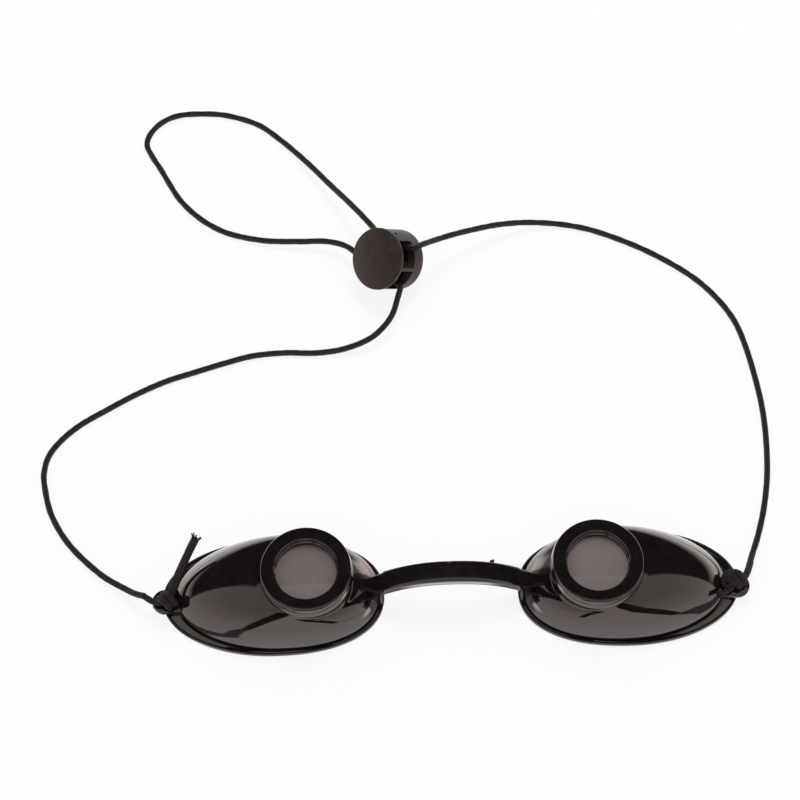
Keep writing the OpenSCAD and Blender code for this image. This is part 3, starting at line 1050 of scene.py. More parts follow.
    def foot(self) -> Piece:
        """Models the strap's foot: a flared root, a neck and a lobe at the collar."""
        shoulder = self.nose_gap / 2 + self.foot_inset
        level, upright = self.foot_squareness
        rings = []
        for along, low, high, half, flare in self.foot_stations:
            ring = []
            for a in round_angles(self.foot_corners):
                z = (low + high) / 2 + (high - low) / 2 * squared(math.sin(a), upright)
                spread = flare * ((high - z) / (high - low)) ** 2
                ring.append(mm(shoulder + along, (half + spread) * squared(math.cos(a), level), z))
            rings.append(self.side.mirrored(ring))
        return ring_skin("foot", rings)

    def root(self) -> Piece:
        """Models the block under the lug."""
        root = rounded_box("root", self.root_low, self.root_high, self.root_bevel)
        root.data.transform(Matrix.Diagonal((self.side.value, 1, 1, 1)))
        if self.side is Side.LEFT:
            root.data.flip_normals()
        return root

    def lug(self) -> Piece:
        """Models the round eyelet lug with its straight sides."""
        x, y = LUG_CENTRE
        low, high, back = LUG_BOTTOM, self.lug_top, self.lug_back
        rounding = (
            (0.3, low), (0.08, low + 0.08), (0.0, low + 0.3),
            (0.0, high - 0.3), (0.08, high - 0.08), (0.3, high),
        )
        rings = []
        for inset, height in rounding:
            reach = self.lug_radius - inset
            ring = [
                on_circle(LUG_CENTRE, reach, math.radians(a), height) for a in range(-90, 91, 6)
            ]
            ring += [mm(x - (x - back) * k / 6, y + reach, height) for k in range(1, 7)]
            ring += [mm(back + (x - back) * k / 6, y - reach, height) for k in range(6)]
            rings.append(self.side.mirrored(ring))
        return ring_skin("lug", rings)

    def drill(self, out: float, radius: float, high: float) -> Piece:
        """Models an upright pin that cuts a hole.

        Args:
            out: how far it stands outwards of the lug's middle.
            radius: its radius.
            high: its upper end.

        Returns:
            The cutting tool.
        """
        x, y = LUG_CENTRE
        place = mm(self.side.value * (x + out), y, (self.drill_low + high) / 2)
        return pin(radius, high - self.drill_low, self.drill_sides, Matrix.Translation(place))

    def build(self, material: Material) -> Piece:
        """Models the cup and dresses it.

        Args:
            material: the cup's finish.

        Returns:
            The finished cup.
        """
        cup = ring_skin(f"{self.side.label}_cup_shell", self.shell_rings(), closed=True)
        work_in(cup, self.foot(), Join.ADD)
        work_in(cup, self.root(), Join.ADD)
        work_in(cup, self.lug(), Join.ADD)
        work_in(cup, self.drill(0.0, self.hole_radius, self.drill_high), Join.CUT)
        room = CORD_TURN_RADIUS + self.cord_room
        work_in(cup, self.drill(CORD_TURN_RADIUS, room, LUG_BOTTOM), Join.CUT)
        shade(cup, self.crease)
        return finish_piece(cup, material, "cup", self.side.body, f"{self.side.label}_eye_cup")


@dataclass
class Window:
    """The filter lens and the bezel ring that holds it."""

    side: Side
    lens_radius: float = 9.3
    thickness: float = 2.0
    bezel_radius: float = 10.75
    bezel_height: float = 1.2
    opening: float = 7.5
    spigot: float = 9.325
    lens_sides: int = 96
    bezel_sides: int = 128
    crease: float = 30.0

    def turned(self, name: str, profile: Profile, sides: int, closed: bool = False) -> Piece:
        """Turns a profile about the lens axis.

        Args:
            name: the piece's name after its side's.
            profile: radius and height of each ring.
            sides: points round each ring.
            closed: whether the profile is a loop.

        Returns:
            The new object.
        """
        piece = lathe(f"{self.side.label}_{name}", profile, sides, closed)
        x, y = LENS_AXIS
        piece.data.transform(Matrix.Translation(mm(self.side.value * x, y, 0)))
        shade(piece, self.crease)
        return piece

    def build_lens(self, material: Material) -> Piece:
        """Models the lens with its ground edges.

        Args:
            material: the lens's finish.

        Returns:
            The finished lens.
        """
        low, high, r = SEAT_HEIGHT, SEAT_HEIGHT + self.thickness, self.lens_radius
        profile = [
            (0.02, low), (r - 0.25, low), (r - 0.06, low + 0.06), (r, low + 0.25),
            (r, high - 0.25), (r - 0.06, high - 0.06), (r - 0.25, high), (0.02, high),
        ]
        lens = self.turned("lens", profile, self.lens_sides)
        node = f"{self.side.label}_filter_lens"
        return finish_piece(lens, material, "lens", self.side.body, node)

    def build_bezel(self, material: Material) -> Piece:
        """Models the bezel ring with its rounded edges and the inner step.

        Args:
            material: the bezel's finish.

        Returns:
            The finished bezel.
        """
        foot, lip, top = SEAT_HEIGHT + self.thickness, LIP_TOP, LIP_TOP + self.bezel_height
        r, o, s = self.bezel_radius, self.opening, self.spigot
        profile = [
            (o - 0.3, foot + 0.02), (s - 0.2, foot + 0.02), (s, foot + 0.2), (s, lip),
            (r - 0.1, lip), (r - 0.02, lip + 0.05), (r, lip + 0.15), (r, top - 0.34),
            (r - 0.04, top - 0.19), (r - 0.12, top - 0.08), (r - 0.24, top - 0.015),
            (r - 0.36, top), (o + 0.22, top), (o + 0.14, top - 0.01), (o + 0.07, top - 0.05),
            (o + 0.02, top - 0.12), (o, top - 0.22), (o - 0.02, lip + 0.1), (o - 0.08, lip + 0.02),
            (o - 0.22, lip), (o - 0.28, lip - 0.05), (o - 0.3, lip - 0.2),
        ]
        bezel = self.turned("bezel", profile, self.bezel_sides, closed=True)
        node = f"{self.side.label}_lens_bezel"
        return finish_piece(bezel, material, "bezel", self.side.body, node)


@dataclass
class NoseBridge:
    """The arched flexible strap between the cups."""

    half: float = 16.2
    clearance: float = 0.1
    height: float = 12.6
    end_height: float = 7.4
    thickness: float = 2.4
    width: float = 5.4
    end_width: float = 5.2
    curve: float = 2.33
    corner: float = 0.3
    tongue_ends: Pair = (-0.5, 1.5)
    tongue_half_width: float = 1.6
    tongue_levels: Pair = (6.0, 7.2)
    # The small nib on the strap's far edge: X, height and how far it reaches, at both ends
    nib: tuple = ((9.0, 12.0, 3.0), (10.1, 11.75, 3.5))
    nib_root: float = 2.2
    stations: int = 72
    sides: int = 48
    crease: float = 34.0

    def section(self, x: float) -> Ring:
        """Gives the strap's squared-off section at a distance to the right of the middle."""
        share = abs(x) / self.half
        drop = self.height - self.end_height
        middle = self.height - drop * share**self.curve
        slope = self.curve * drop / self.half * share ** (self.curve - 1)
        half_width = self.width / 2 + (self.end_width - self.width) / 2 * share**1.5
        half_height = self.thickness / 2 * math.sqrt(1 + slope**2)
        return [
            mm(
                x,
                half_width * squared(math.cos(a), self.corner),
                middle + half_height * squared(math.sin(a), self.corner),
            )
            for a in round_angles(self.sides)
        ]

    def build(self, material: Material) -> Piece:
        """Models the arched strap between the two cups.

        Args:
            material: the strap's finish.

        Returns:
            The finished strap.
        """
        left, right = -self.half, self.half - self.clearance
        places = [left + (right - left) * k / self.stations for k in range(self.stations + 1)]
        strap = ring_skin("nose_strap", [self.section(x) for x in places])
        reach, (bottom, top) = self.tongue_half_width, self.tongue_levels
        for end in (-1, 1):
            low, high = sorted(end * (self.half + out) for out in self.tongue_ends)
            tongue = rounded_box("tongue", (low, -reach, bottom), (high, reach, top))
            work_in(strap, tongue, Join.ADD)
        corners = [
            [
                mm(x, self.nib_root, z - 0.4), mm(x, reach, z - 0.1),
                mm(x, reach, z + 0.1), mm(x, self.nib_root, z + 0.2),
            ]
            for x, z, reach in self.nib
        ]
        work_in(strap, ring_skin("nib", corners), Join.ADD)
        shade(strap, self.crease)
        finish_piece(strap, material, "bridge", None, "nose_bridge")
        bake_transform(strap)
        return strap


# The head cord


def smooth_route(points: Sequence[Vector], spacing: float) -> Ring:
    """Draws one smooth line through given points.

    Args:
        points: the points in metres.
        spacing: the distance between the new points in metres.

    Returns:
        Points evenly spaced along the line.
    """
    fine: Ring = []
    count = len(points)
    for i in range(count - 1):
        p0, p1, p2, p3 = (points[max(0, min(count - 1, i + k))] for k in (-1, 0, 1, 2))
        for step in range(CURVE_STEPS):
            t = step / CURVE_STEPS
            bend = (2 * p0 - 5 * p1 + 4 * p2 - p3) * t**2
            twist = (3 * p1 - p0 - 3 * p2 + p3) * t**3
            fine.append(0.5 * (2 * p1 + (p2 - p0) * t + bend + twist))
    fine.append(points[-1].copy())
    lengths = [0.0]
    for before, after in zip(fine, fine[1:]):
        lengths.append(lengths[-1] + (after - before).length)
    pieces = max(2, round(lengths[-1] / spacing))
    result, j = [], 0
    for k in range(pieces + 1):
        target = lengths[-1] * k / pieces
        while j < len(fine) - 2 and lengths[j + 1] < target:
            j += 1
        gap = lengths[j + 1] - lengths[j]
        share = (target - lengths[j]) / gap if gap else 0.0
        result.append(fine[j].lerp(fine[j + 1], min(1.0, max(0.0, share))))
    return result


def drawn(table: Sequence[Sequence[float]], spacing: float) -> Ring:
    """Draws a smooth line through points in millimetres, with new points at a spacing."""
    return smooth_route([mm(*point) for point in table], spacing * MM)


@dataclass
class Braid:
    """A round or flattened braided tube along a route, with its own UV map round and along it."""

    name: str
    route: Ring
    half_width: float
    half_height: float
    sides: int = 20
    relief: float = 0.05
    yarns: int = 4
    slant: float = 1.0
    crest_level: float = 0.6
    crease: float = 50.0

    def swell(self, u: float, mark: float) -> float:
        """Gives how far the yarns swell the tube at a share round it and a mark along it."""
        around, twist = self.yarns * u, self.slant * mark
        crest = max(math.sin(math.tau * (around + twist)), math.sin(math.tau * (around - twist)))
        return 1 + self.relief * (crest - self.crest_level)

    def skin(self) -> tuple[Ring, list[float]]:
        """Gives the tube's points, ring by ring, and each ring's place along it in girths."""
        vertices, marks = [], []
        side = None
        travelled = 0.0
        girth = math.pi * (self.half_width + self.half_height)
        last = len(self.route) - 1
        for i, point in enumerate(self.route):
            ahead = (self.route[min(i + 1, last)] - self.route[max(i - 1, 0)]).normalized()
            if side is None:
                side = ahead.cross(Vector((0, 0, 1)))
                if side.length < 0.2:
                    side = ahead.cross(Vector((0, 1, 0)))
            side = (side - ahead * side.dot(ahead)).normalized()
            rise = side.cross(ahead)
            if i:
                travelled += (point - self.route[i - 1]).length
            marks.append(travelled / girth)
            for k in range(self.sides):
                u = k / self.sides
                swell = self.swell(u, marks[-1])
                offset = side * (self.half_width * swell * math.cos(math.tau * u))
                offset += rise * (self.half_height * swell * math.sin(math.tau * u))
                vertices.append(point + offset)
        return vertices, marks

    def build(self) -> Piece:
        """Makes the tube with its closed ends and its UV map."""
        vertices, marks = self.skin()
        faces, corners = [], []
        last, count = len(self.route) - 1, self.sides
        for i in range(last):
            for k in range(count):
                a, b = i * count + k, i * count + (k + 1) % count
                faces.append((a, b, b + count, a + count))
                u0, u1 = k / count, (k + 1) / count
                v0, v1 = marks[i], marks[i + 1]
                corners.append(((u0, v0), (u1, v0), (u1, v1), (u0, v1)))
        for end in (0, last):
            hub = len(vertices)
            vertices.append(self.route[end])
            for k in range(count):
                a, b = end * count + k, end * count + (k + 1) % count
                faces.append((hub, a, b) if end else (hub, b, a))
                corners.append(((k / count, marks[end]),) * 3)
        mesh = bpy.data.meshes.new(self.name)
        mesh.from_pydata(vertices, [], faces)
        layer = mesh.uv_layers.new(name="Braid")
        layer.data.foreach_set("uv", [value for face in corners for pair in face for value in pair])
        mesh.validate()
        tube = bpy.data.objects.new(self.name, mesh)
        bpy.context.scene.collection.objects.link(tube)
        with editing(tube):
            bpy.ops.mesh.select_all(action="SELECT")
            bpy.ops.mesh.normals_make_consistent(inside=False)
        shade(tube, self.crease)
        return tube


@dataclass(frozen=True)
class Knot:
    """One knot, in millimetres: its wraps, the strands beside them and its loose, frayed end."""

    middle: Triple
    lean: float
    wrap_reach: float
    wrap_half: float
    strands: tuple
    strand_half: float
    tail: tuple
    tail_half: Pair
    tail_sides: int
    tail_yarns: int
    tail_end: int
    frayed: int
    fray_reach: float


KNOTS = {
    Side.LEFT: Knot(
        middle=(-67.5, -2.1, 5.6),
        lean=40.0,
        wrap_reach=1.6,
        wrap_half=0.88,
        strands=(
            (
                (-73.6, -0.2, 4.9), (-72.3, -1.2, 5.1), (-70.9, -2.1, 5.2), (-69.2, -2.5, 5.4),
                (-67.4, -1.9, 5.8),
            ),
        ),
        strand_half=0.76,
        tail=(
            (-67, -1.2, 5.6), (-65.6, 2.2, 6.8), (-63.7, 5.8, 8.4), (-61.9, 9, 10.1),
            (-60.7, 10.9, 11.2),
        ),
        tail_half=(1.0, 0.7),
        tail_sides=24,
        tail_yarns=6,
        tail_end=6,
        frayed=14,
        fray_reach=1.5,
    ),
    Side.RIGHT: Knot(
        middle=(68.3, -0.8, 5.7),
        lean=32.0,
        wrap_reach=1.65,
        wrap_half=0.85,
        strands=(
            (
                (72.0, 4.4, 3.9), (71.2, 2.2, 5.0), (70.5, 0.6, 5.7), (69.6, -0.7, 6.0),
                (68.2, -1.1, 6.0), (66.4, -1.6, 5.6),
            ),
            (
                (67.8, 0.4, 6.8), (66.3, 0.5, 6.6), (65.2, -0.2, 6.2), (64.8, -1.4, 5.9),
                (65.4, -2.5, 5.6), (67.0, -2.5, 5.6),
            ),
            (
                (67.6, -2.2, 6.8), (66.5, -2.0, 6.9), (65.8, -1.2, 6.9), (66.2, -0.3, 6.9),
                (67.4, -0.1, 7.0),
            ),
        ),
        strand_half=0.82,
        tail=((67, -2.4, 5.2), (65.2, -3.9, 5.8), (63.2, -5.2, 7)),
        tail_half=(0.75, 0.75),
        tail_sides=16,
        tail_yarns=4,
        tail_end=4,
        frayed=8,
        fray_reach=0.7,
    ),
}


@dataclass
class HeadCord:
    """The elastic cord: two strands, the loop behind the lock, and the knot at each lug."""

    cord_level: float = -1.2
    channel: float = 4.8
    diameter: float = 1.5
    turn_height: float = 2.925
    wrap_turns: float = 1.9
    wrap_pitch: float = 1.5
    wrap_taper: float = 0.12
    wrap_steps: int = 36
    left_table: tuple = (
        (-10.4, 78, 6.4), (-11.8, 74, 5.4), (-14, 71, 4.6), (-17, 68.6, 3.6), (-21, 67, 2.6),
        (-26, 66, 1.7), (-32, 65.8, 1), (-39, 66.2, 0.8), (-47, 65.6, 0.8), (-54, 63.8, 0.8),
        (-62, 61.3, 0.8), (-69, 59, 0.8), (-76.5, 55.5, 0.8), (-83.5, 51.5, 0.8), (-90, 47.5, 0.8),
        (-94.5, 43.5, 0.8), (-97.4, 39.5, 0.8), (-98.5, 35.5, 0.8), (-98.4, 31.4, 0.8),
        (-96.4, 23.2, 0.8), (-91.7, 15, 0.8), (-84.2, 7.2, 1), (-78, 2.7, 2.1), (-75.2, 0.6, 3.8),
        (-73, -0.6, 5.2),
    )
    loop_table: tuple = (
        (-16, 97, 9.4), (-19, 101.5, 8.6), (-22.6, 107, 6.8), (-26.8, 113, 4.9),
        (-30.7, 118.8, 3.1), (-34.6, 124, 1.8), (-39.5, 129.6, 0.9), (-45.6, 134.8, 0.8),
        (-54, 138, 0.8),
        (-61.5, 138.7, 0.8), (-67, 138.2, 0.8), (-71, 136.2, 0.8), (-73.8, 133, 0.8),
        (-74.8, 129.5, 0.8), (-73.5, 126, 0.8), (-71, 121.5, 0.8), (-68.6, 116.8, 0.8),
        (-66, 112.2, 0.8), (-62.3, 107.8, 0.8), (-58, 104.2, 0.8), (-52.5, 101.2, 0.9),
        (-44, 98.8, 1.4), (-35, 97.6, 2.5), (-28, 96.7, 3.7), (-22.5, 94.2, 4.7),
    )
    right_table: tuple = (
        (-3.9, 88.8, 14.2), (0.6, 92.4, 10.8), (5, 94.8, 9), (10, 97.2, 7), (16, 99.6, 4.9),
        (23, 101.3, 2.8), (31, 101.6, 1.3), (38.8, 100.2, 0.8), (46, 97.3, 0.8), (53.5, 93.4, 0.8),
        (60.5, 88.8, 0.8), (66.5, 83.8, 0.8), (71.4, 77.9, 0.8), (74.8, 71.8, 0.8), (76.8, 65, 0.8),
        (78.4, 56, 0.8), (79.4, 47, 0.8), (79.5, 38, 0.8), (78.8, 28.5, 0.8), (77.2, 20, 0.8),
        (75, 12.5, 1.2), (72.9, 7, 2.5), (71.5, 3.2, 4.4),
    )
    spacing: float = 0.25
    tail_spacing: float = 0.3
    knot_sides: int = 18
    turn_sides: int = 16
    # The loose yarns of a cut end: their half sizes, and how they stand out and sway across and up
    yarn_half: Pair = (0.17, 0.14)
    yarn_sides: int = 6
    yarn_root: float = 0.6
    yarn_shortest: float = 0.45
    yarn_out: Pair = (0.85, 0.45)
    yarn_sway: Pair = (0.5, 0.35)
    yarn_lean: float = 500.0

    def in_lock(self, along: float, across: float) -> Triple:
        """Gives a point at the cords' level in the lock, along and across its channels."""
        return tuple(Vector(LOCK_CENTRE) + LOCK_TURN @ Vector((along, across, self.cord_level)))

    def routes(self) -> dict[str, Ring]:
        """Gives the smooth route of each stretch of cord."""
        at, c = self.in_lock, self.channel
        raw = {
            "left": [at(0, -c), at(3, -c), at(5.8, -5), *self.left_table],
            "loop": [
                at(0, c), at(-3.4, c), at(-6.6, c),
                *self.loop_table,
                at(-6.8, -3.6), at(-3.2, -c), at(0, -c),
            ],
            "right": [at(0, c), at(3, c), at(6.6, 5.5), *self.right_table],
        }
        return {key: drawn(points, self.spacing) for key, points in raw.items()}

    def turn(self, side: Side) -> Ring:
        """Gives the cord's turn through a lug's hole and round its outer edge."""
        x, y = LUG_CENTRE
        reach = CORD_TURN_RADIUS
        bearings = [math.radians(a) for a in range(-238, -63, 6)]
        return side.mirrored([
            mm(x + reach + reach * math.cos(a), y, self.turn_height + reach * math.sin(a))
            for a in bearings
        ])

    def wraps(self, knot: Knot) -> Ring:
        """Gives the line of a knot's wraps about a level axis, widest in their middle.

        Args:
            knot: the knot.

        Returns:
            The line's points, in metres.
        """
        lean = Matrix.Rotation(math.radians(knot.lean), 3, "Z")
        points = []
        steps = round(self.wrap_steps * self.wrap_turns)
        for i in range(steps + 1):
            a = math.tau * self.wrap_turns * i / steps
            share = 2 * i / steps - 1
            radius = knot.wrap_reach * (1 - self.wrap_taper * share**2)
            along = self.wrap_pitch * self.wrap_turns * share / 2
            local = Vector((along, radius * math.cos(a), radius * math.sin(a)))
            points.append((Vector(knot.middle) + lean @ local) * MM)
        return points

    def build_knot(self, side: Side, material: Material) -> Piece:
        """Makes a knot, the turn through its lug and its loose end.

        Args:
            side: which lug it is at.
            material: the cord's finish.

        Returns:
            The finished knot.
        """
        knot = KNOTS[side]
        radius = self.diameter / 2 * MM
        wrap, half = knot.wrap_half * MM, knot.strand_half * MM
        parts = [
            Braid("turn", self.turn(side), radius, radius, sides=self.turn_sides).build(),
            Braid("wrap", self.wraps(knot), wrap, wrap, sides=self.knot_sides).build(),
        ]
        for line in knot.strands:
            route = drawn(line, self.spacing)
            parts.append(Braid("strand", route, half, half, sides=self.knot_sides).build())
        tail = drawn(knot.tail, self.tail_spacing)
        width, height = (half * MM for half in knot.tail_half)
        parts.append(
            Braid("tail", tail, width, height, sides=knot.tail_sides, yarns=knot.tail_yarns).build()
        )
        ahead = (tail[-1] - tail[-knot.tail_end]).normalized()
        parts += self.fray(tail[-1], ahead, knot.frayed, knot.fray_reach)
        piece = joined(f"{side.label}_cord_knot", parts)
        return finish_piece(piece, material, "cord", side.body, f"{side.label}_knot")

    def fray(self, tip: Vector, ahead: Vector, count: int, reach: float) -> list[Piece]:
        """Makes the loose yarns of a cut cord end.

        Args:
            tip: the middle of the cut end.
            ahead: the direction in which the cord ends.
            count: how many yarns stand out.
            reach: the length of the longest in millimetres.

        Returns:
            The yarns.
        """
        chance = random.Random(7)
        side = ahead.cross(Vector((0, 0, 1))).normalized()
        rise = side.cross(ahead)
        out_across, out_up = self.yarn_out
        sway_across, sway_up = self.yarn_sway
        width, height = (half * MM for half in self.yarn_half)
        yarns = []
        for a in round_angles(count, 0.0):
            out = (side * math.cos(a) * out_across + rise * math.sin(a) * out_up) * MM
            share = self.yarn_shortest + (1 - self.yarn_shortest) * chance.random()
            length = reach * share * MM
            sway = side * chance.uniform(-sway_across, sway_across)
            sway += rise * chance.uniform(-sway_up, sway_up)
            lean = (sway + out * self.yarn_lean) * length
            points = [
                tip - ahead * self.yarn_root * MM + out * 0.7,
                tip + out + ahead * length * 0.45 + lean * 0.2,
                tip + out + ahead * length + lean * 0.9,
            ]
            line = smooth_route(points, self.spacing * MM)
            yarn = Braid("yarn", line, width, height, sides=self.yarn_sides, relief=0.0)
            yarns.append(yarn.build())
        return yarns

    def build(self, material: Material) -> None:
        """Args:
            material: the cord's finish.
        """
        routes = self.routes()
        radius = self.diameter / 2 * MM
        knots = {side.label: [self.build_knot(side, material)] for side in Side}
        nodes = {"left": "cord_left_strand", "loop": "cord_loop", "right": "cord_right_strand"}
        for key, node in nodes.items():
            route = routes[key]
            strand = Braid(f"{key}_strand", route, radius, radius).build()
            if key == "right":
                finish_piece(strand, material, "cord", None, node)
                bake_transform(strand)
            else:
                finish_piece(strand, material, "cord", Body.LEFT_SHIELD, node)


# The cord lock


@dataclass
class CordLock:
    """The sprung lock: a domed disc on a drum with two cord windows, a plunger and a spring."""

    face_radius: float = 7.8
    face_edge: float = 0.9
    dome: float = 1.4
    drum_radius: float = 7.6
    drum_rear: float = -6.2
    rear_rounding: float = 1.1
    bore: float = 5.5
    window_rear: float = -2.0
    window_front: float = 2.9
    window_reach: float = 6.4
    window_rounding: float = 0.25
    divider: float = 0.9
    pocket_top: float = 4.3
    pocket_radius: float = 2.8
    slot_front: float = -0.15
    slot_rear: float = -3.75
    stem_front: float = 0.75
    stem_radius: float = 5.4
    web: float = 1.8
    button_edge: float = -8.0
    button_dome: float = 0.8
    dimple_radius: float = 0.5
    dimple_level: float = 1.5
    dimple_bearing: float = 78.0
    spring_radius: float = 2.2
    spring_wire: float = 0.4
    spring_turns: float = 3.0
    spring_steps: int = 120
    spring_play: float = 0.05
    spring_sides: int = 12
    travel: float = 1.5
    drum_sides: int = 128
    button_sides: int = 96
    dimple_sides: int = 32
    dome_steps: int = 18
    rounding_steps: int = 6
    crease: float = 30.0

    def place(self) -> Matrix:
        """Gives the movement from the lock's own axis to the frame."""
        return Matrix.Translation(mm(*LOCK_CENTRE)) @ LOCK_TURN.to_4x4()

    def crown(self, radius: float, rise: float, level: float, way: int) -> Profile:
        """Gives the profile of a dome from its edge to its middle.

        Args:
            radius: the dome's radius.
            rise: its height.
            level: the level of its edge.
            way: 1 if the dome rises, -1 if it falls.

        Returns:
            Radius and height of each ring.
        """
        ball = (radius**2 + rise**2) / (2 * rise)
        profile: Profile = [(radius, level - way * 0.1), (radius - 0.06, level + way * 0.04)]
        for k in range(1, self.dome_steps + 1):
            r = (radius - 0.2) * (1 - k / self.dome_steps) + 0.02
            profile.append((r, level + way * (rise - ball + math.sqrt(ball**2 - r**2))))
        return profile

    def cut_windows(
        self, piece: Piece, reach: float, front: float, rear: float, web: float
    ) -> None:
        """Cuts the two cords' ways through a piece.

        Args:
            piece: the barrel or the plunger, about its own axis.
            reach: how far the ways reach from the axis.
            front: their front level.
            rear: their rear level.
            web: the width left between them.
        """
        far = self.face_radius + 1
        for way in (1, -1):
            low, high = sorted((way * web / 2, way * reach))
            tool = rounded_box("cut", (-far, low, rear), (far, high, front), self.window_rounding)
            work_in(piece, tool, Join.CUT)

    def dimple(self) -> Piece:
        """Models the pin that leaves the small moulding dimple in the drum's side."""
        place = Matrix.Rotation(math.radians(self.dimple_bearing), 4, "Z")
        middle = self.drum_radius + 1 - self.dimple_radius
        place @= Matrix.Translation(mm(middle, 0, self.dimple_level))
        place @= Matrix.Rotation(math.pi / 2, 4, "Y")
        return pin(self.dimple_radius, 2, self.dimple_sides, place)

    def dress(self, piece: Piece, material: Material, slot: str, body: Body, node: str) -> Piece:
        """Moves a piece from the lock's own axis to its place and finishes it.

        Args:
            piece: the piece.
            material: its finish.
            slot: the record's material slot.
            body: the body it rides on.
            node: the CAD node that it replaces.

        Returns:
            The same piece.
        """
        piece.data.transform(self.place())
        return finish_piece(piece, material, slot, body, node)

    def build_barrel(self, material: Material) -> Piece:
        """Models the barrel with its windows.

        Args:
            material: the lock's finish.

        Returns:
            The finished barrel.
        """
        front, rear, inset = self.window_front, self.drum_rear, self.rear_rounding
        profile: Profile = [
            (0.02, self.pocket_top), (self.pocket_radius, self.pocket_top),
            (self.pocket_radius, front), (self.bore, front),
            (self.bore, rear + 0.1), (self.bore + 0.1, rear),
        ]
        for k in range(self.rounding_steps + 1):
            a = math.pi / 2 * k / self.rounding_steps
            r = self.drum_radius - inset + inset * math.sin(a)
            profile.append((r, rear + inset - inset * math.cos(a)))
        profile += [
            (self.drum_radius, front - 0.02), (self.face_radius - 0.12, front),
            (self.face_radius - 0.03, front + 0.06), (self.face_radius, front + 0.2),
        ]
        profile += self.crown(self.face_radius, self.dome, front + self.face_edge, 1)
        barrel = lathe("lock_drum", profile, self.drum_sides)
        self.cut_windows(barrel, self.window_reach, front, self.window_rear, self.divider)
        work_in(barrel, self.dimple(), Join.CUT)
        shade(barrel, self.crease)
        return self.dress(barrel, material, "lock", Body.LEFT_SHIELD, "lock_barrel")

    def build_plunger(self, material: Material) -> Piece:
        """Models the plunger with its slots, pinch plate and domed button end.

        Args:
            material: the lock's finish.

        Returns:
            The finished plunger.
        """
        radius, front = self.stem_radius, self.stem_front
        profile: Profile = [(0.02, front), (radius - 0.15, front), (radius, front - 0.15)]
        profile += self.crown(radius, self.button_dome, self.button_edge, -1)
        plunger = lathe("lock_button", profile, self.button_sides)
        self.cut_windows(plunger, self.bore + 1, self.slot_front, self.slot_rear, self.web)
        shade(plunger, self.crease)
        return self.dress(plunger, material, "lock", Body.PLUNGER, "lock_plunger")

    def build_spring(self, material: Material) -> Piece:
        """Winds the compression spring.

        Args:
            material: the wire's finish.

        Returns:
            The finished spring.
        """
        half, sides = self.spring_wire / 2, self.spring_sides
        low = self.stem_front + half + self.spring_play
        high = self.pocket_top - half - self.spring_play
        route = []
        for i in range(self.spring_steps + 1):
            a = math.tau * self.spring_turns * i / self.spring_steps
            level = low + (high - low) * i / self.spring_steps
            route.append(on_circle((0.0, 0.0), self.spring_radius, a, level))
        spring = Braid("lock_coil", route, half * MM, half * MM, sides=sides, relief=0.0).build()
        self.dress(spring, material, "spring", Body.LEFT_SHIELD, "lock_spring")
        place = self.place()
        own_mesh(spring)
        return spring


# The studio


@dataclass(frozen=True)
class Lamp:
    """One soft lamp that looks at a point and stays out of mirror reflections."""

    name: str
    place: Triple
    size: Pair
    radiance: float
    target: Triple = (0.0, 0.02, 0.0)

    def build(self) -> None:
        """Hangs the lamp in its place."""
        data = bpy.data.lights.new(self.name, "AREA")
        data.shape = "RECTANGLE"
        data.size, data.size_y = self.size
        data.energy = self.radiance * math.pi * self.size[0] * self.size[1]
        lamp = bpy.data.objects.new(self.name, data)
        lamp.location = self.place
        aim = Vector(self.target) - Vector(self.place)
        lamp.rotation_euler = aim.to_track_quat("-Z", "Y").to_euler()
        lamp.visible_glossy = False
        bpy.context.scene.collection.objects.link(lamp)


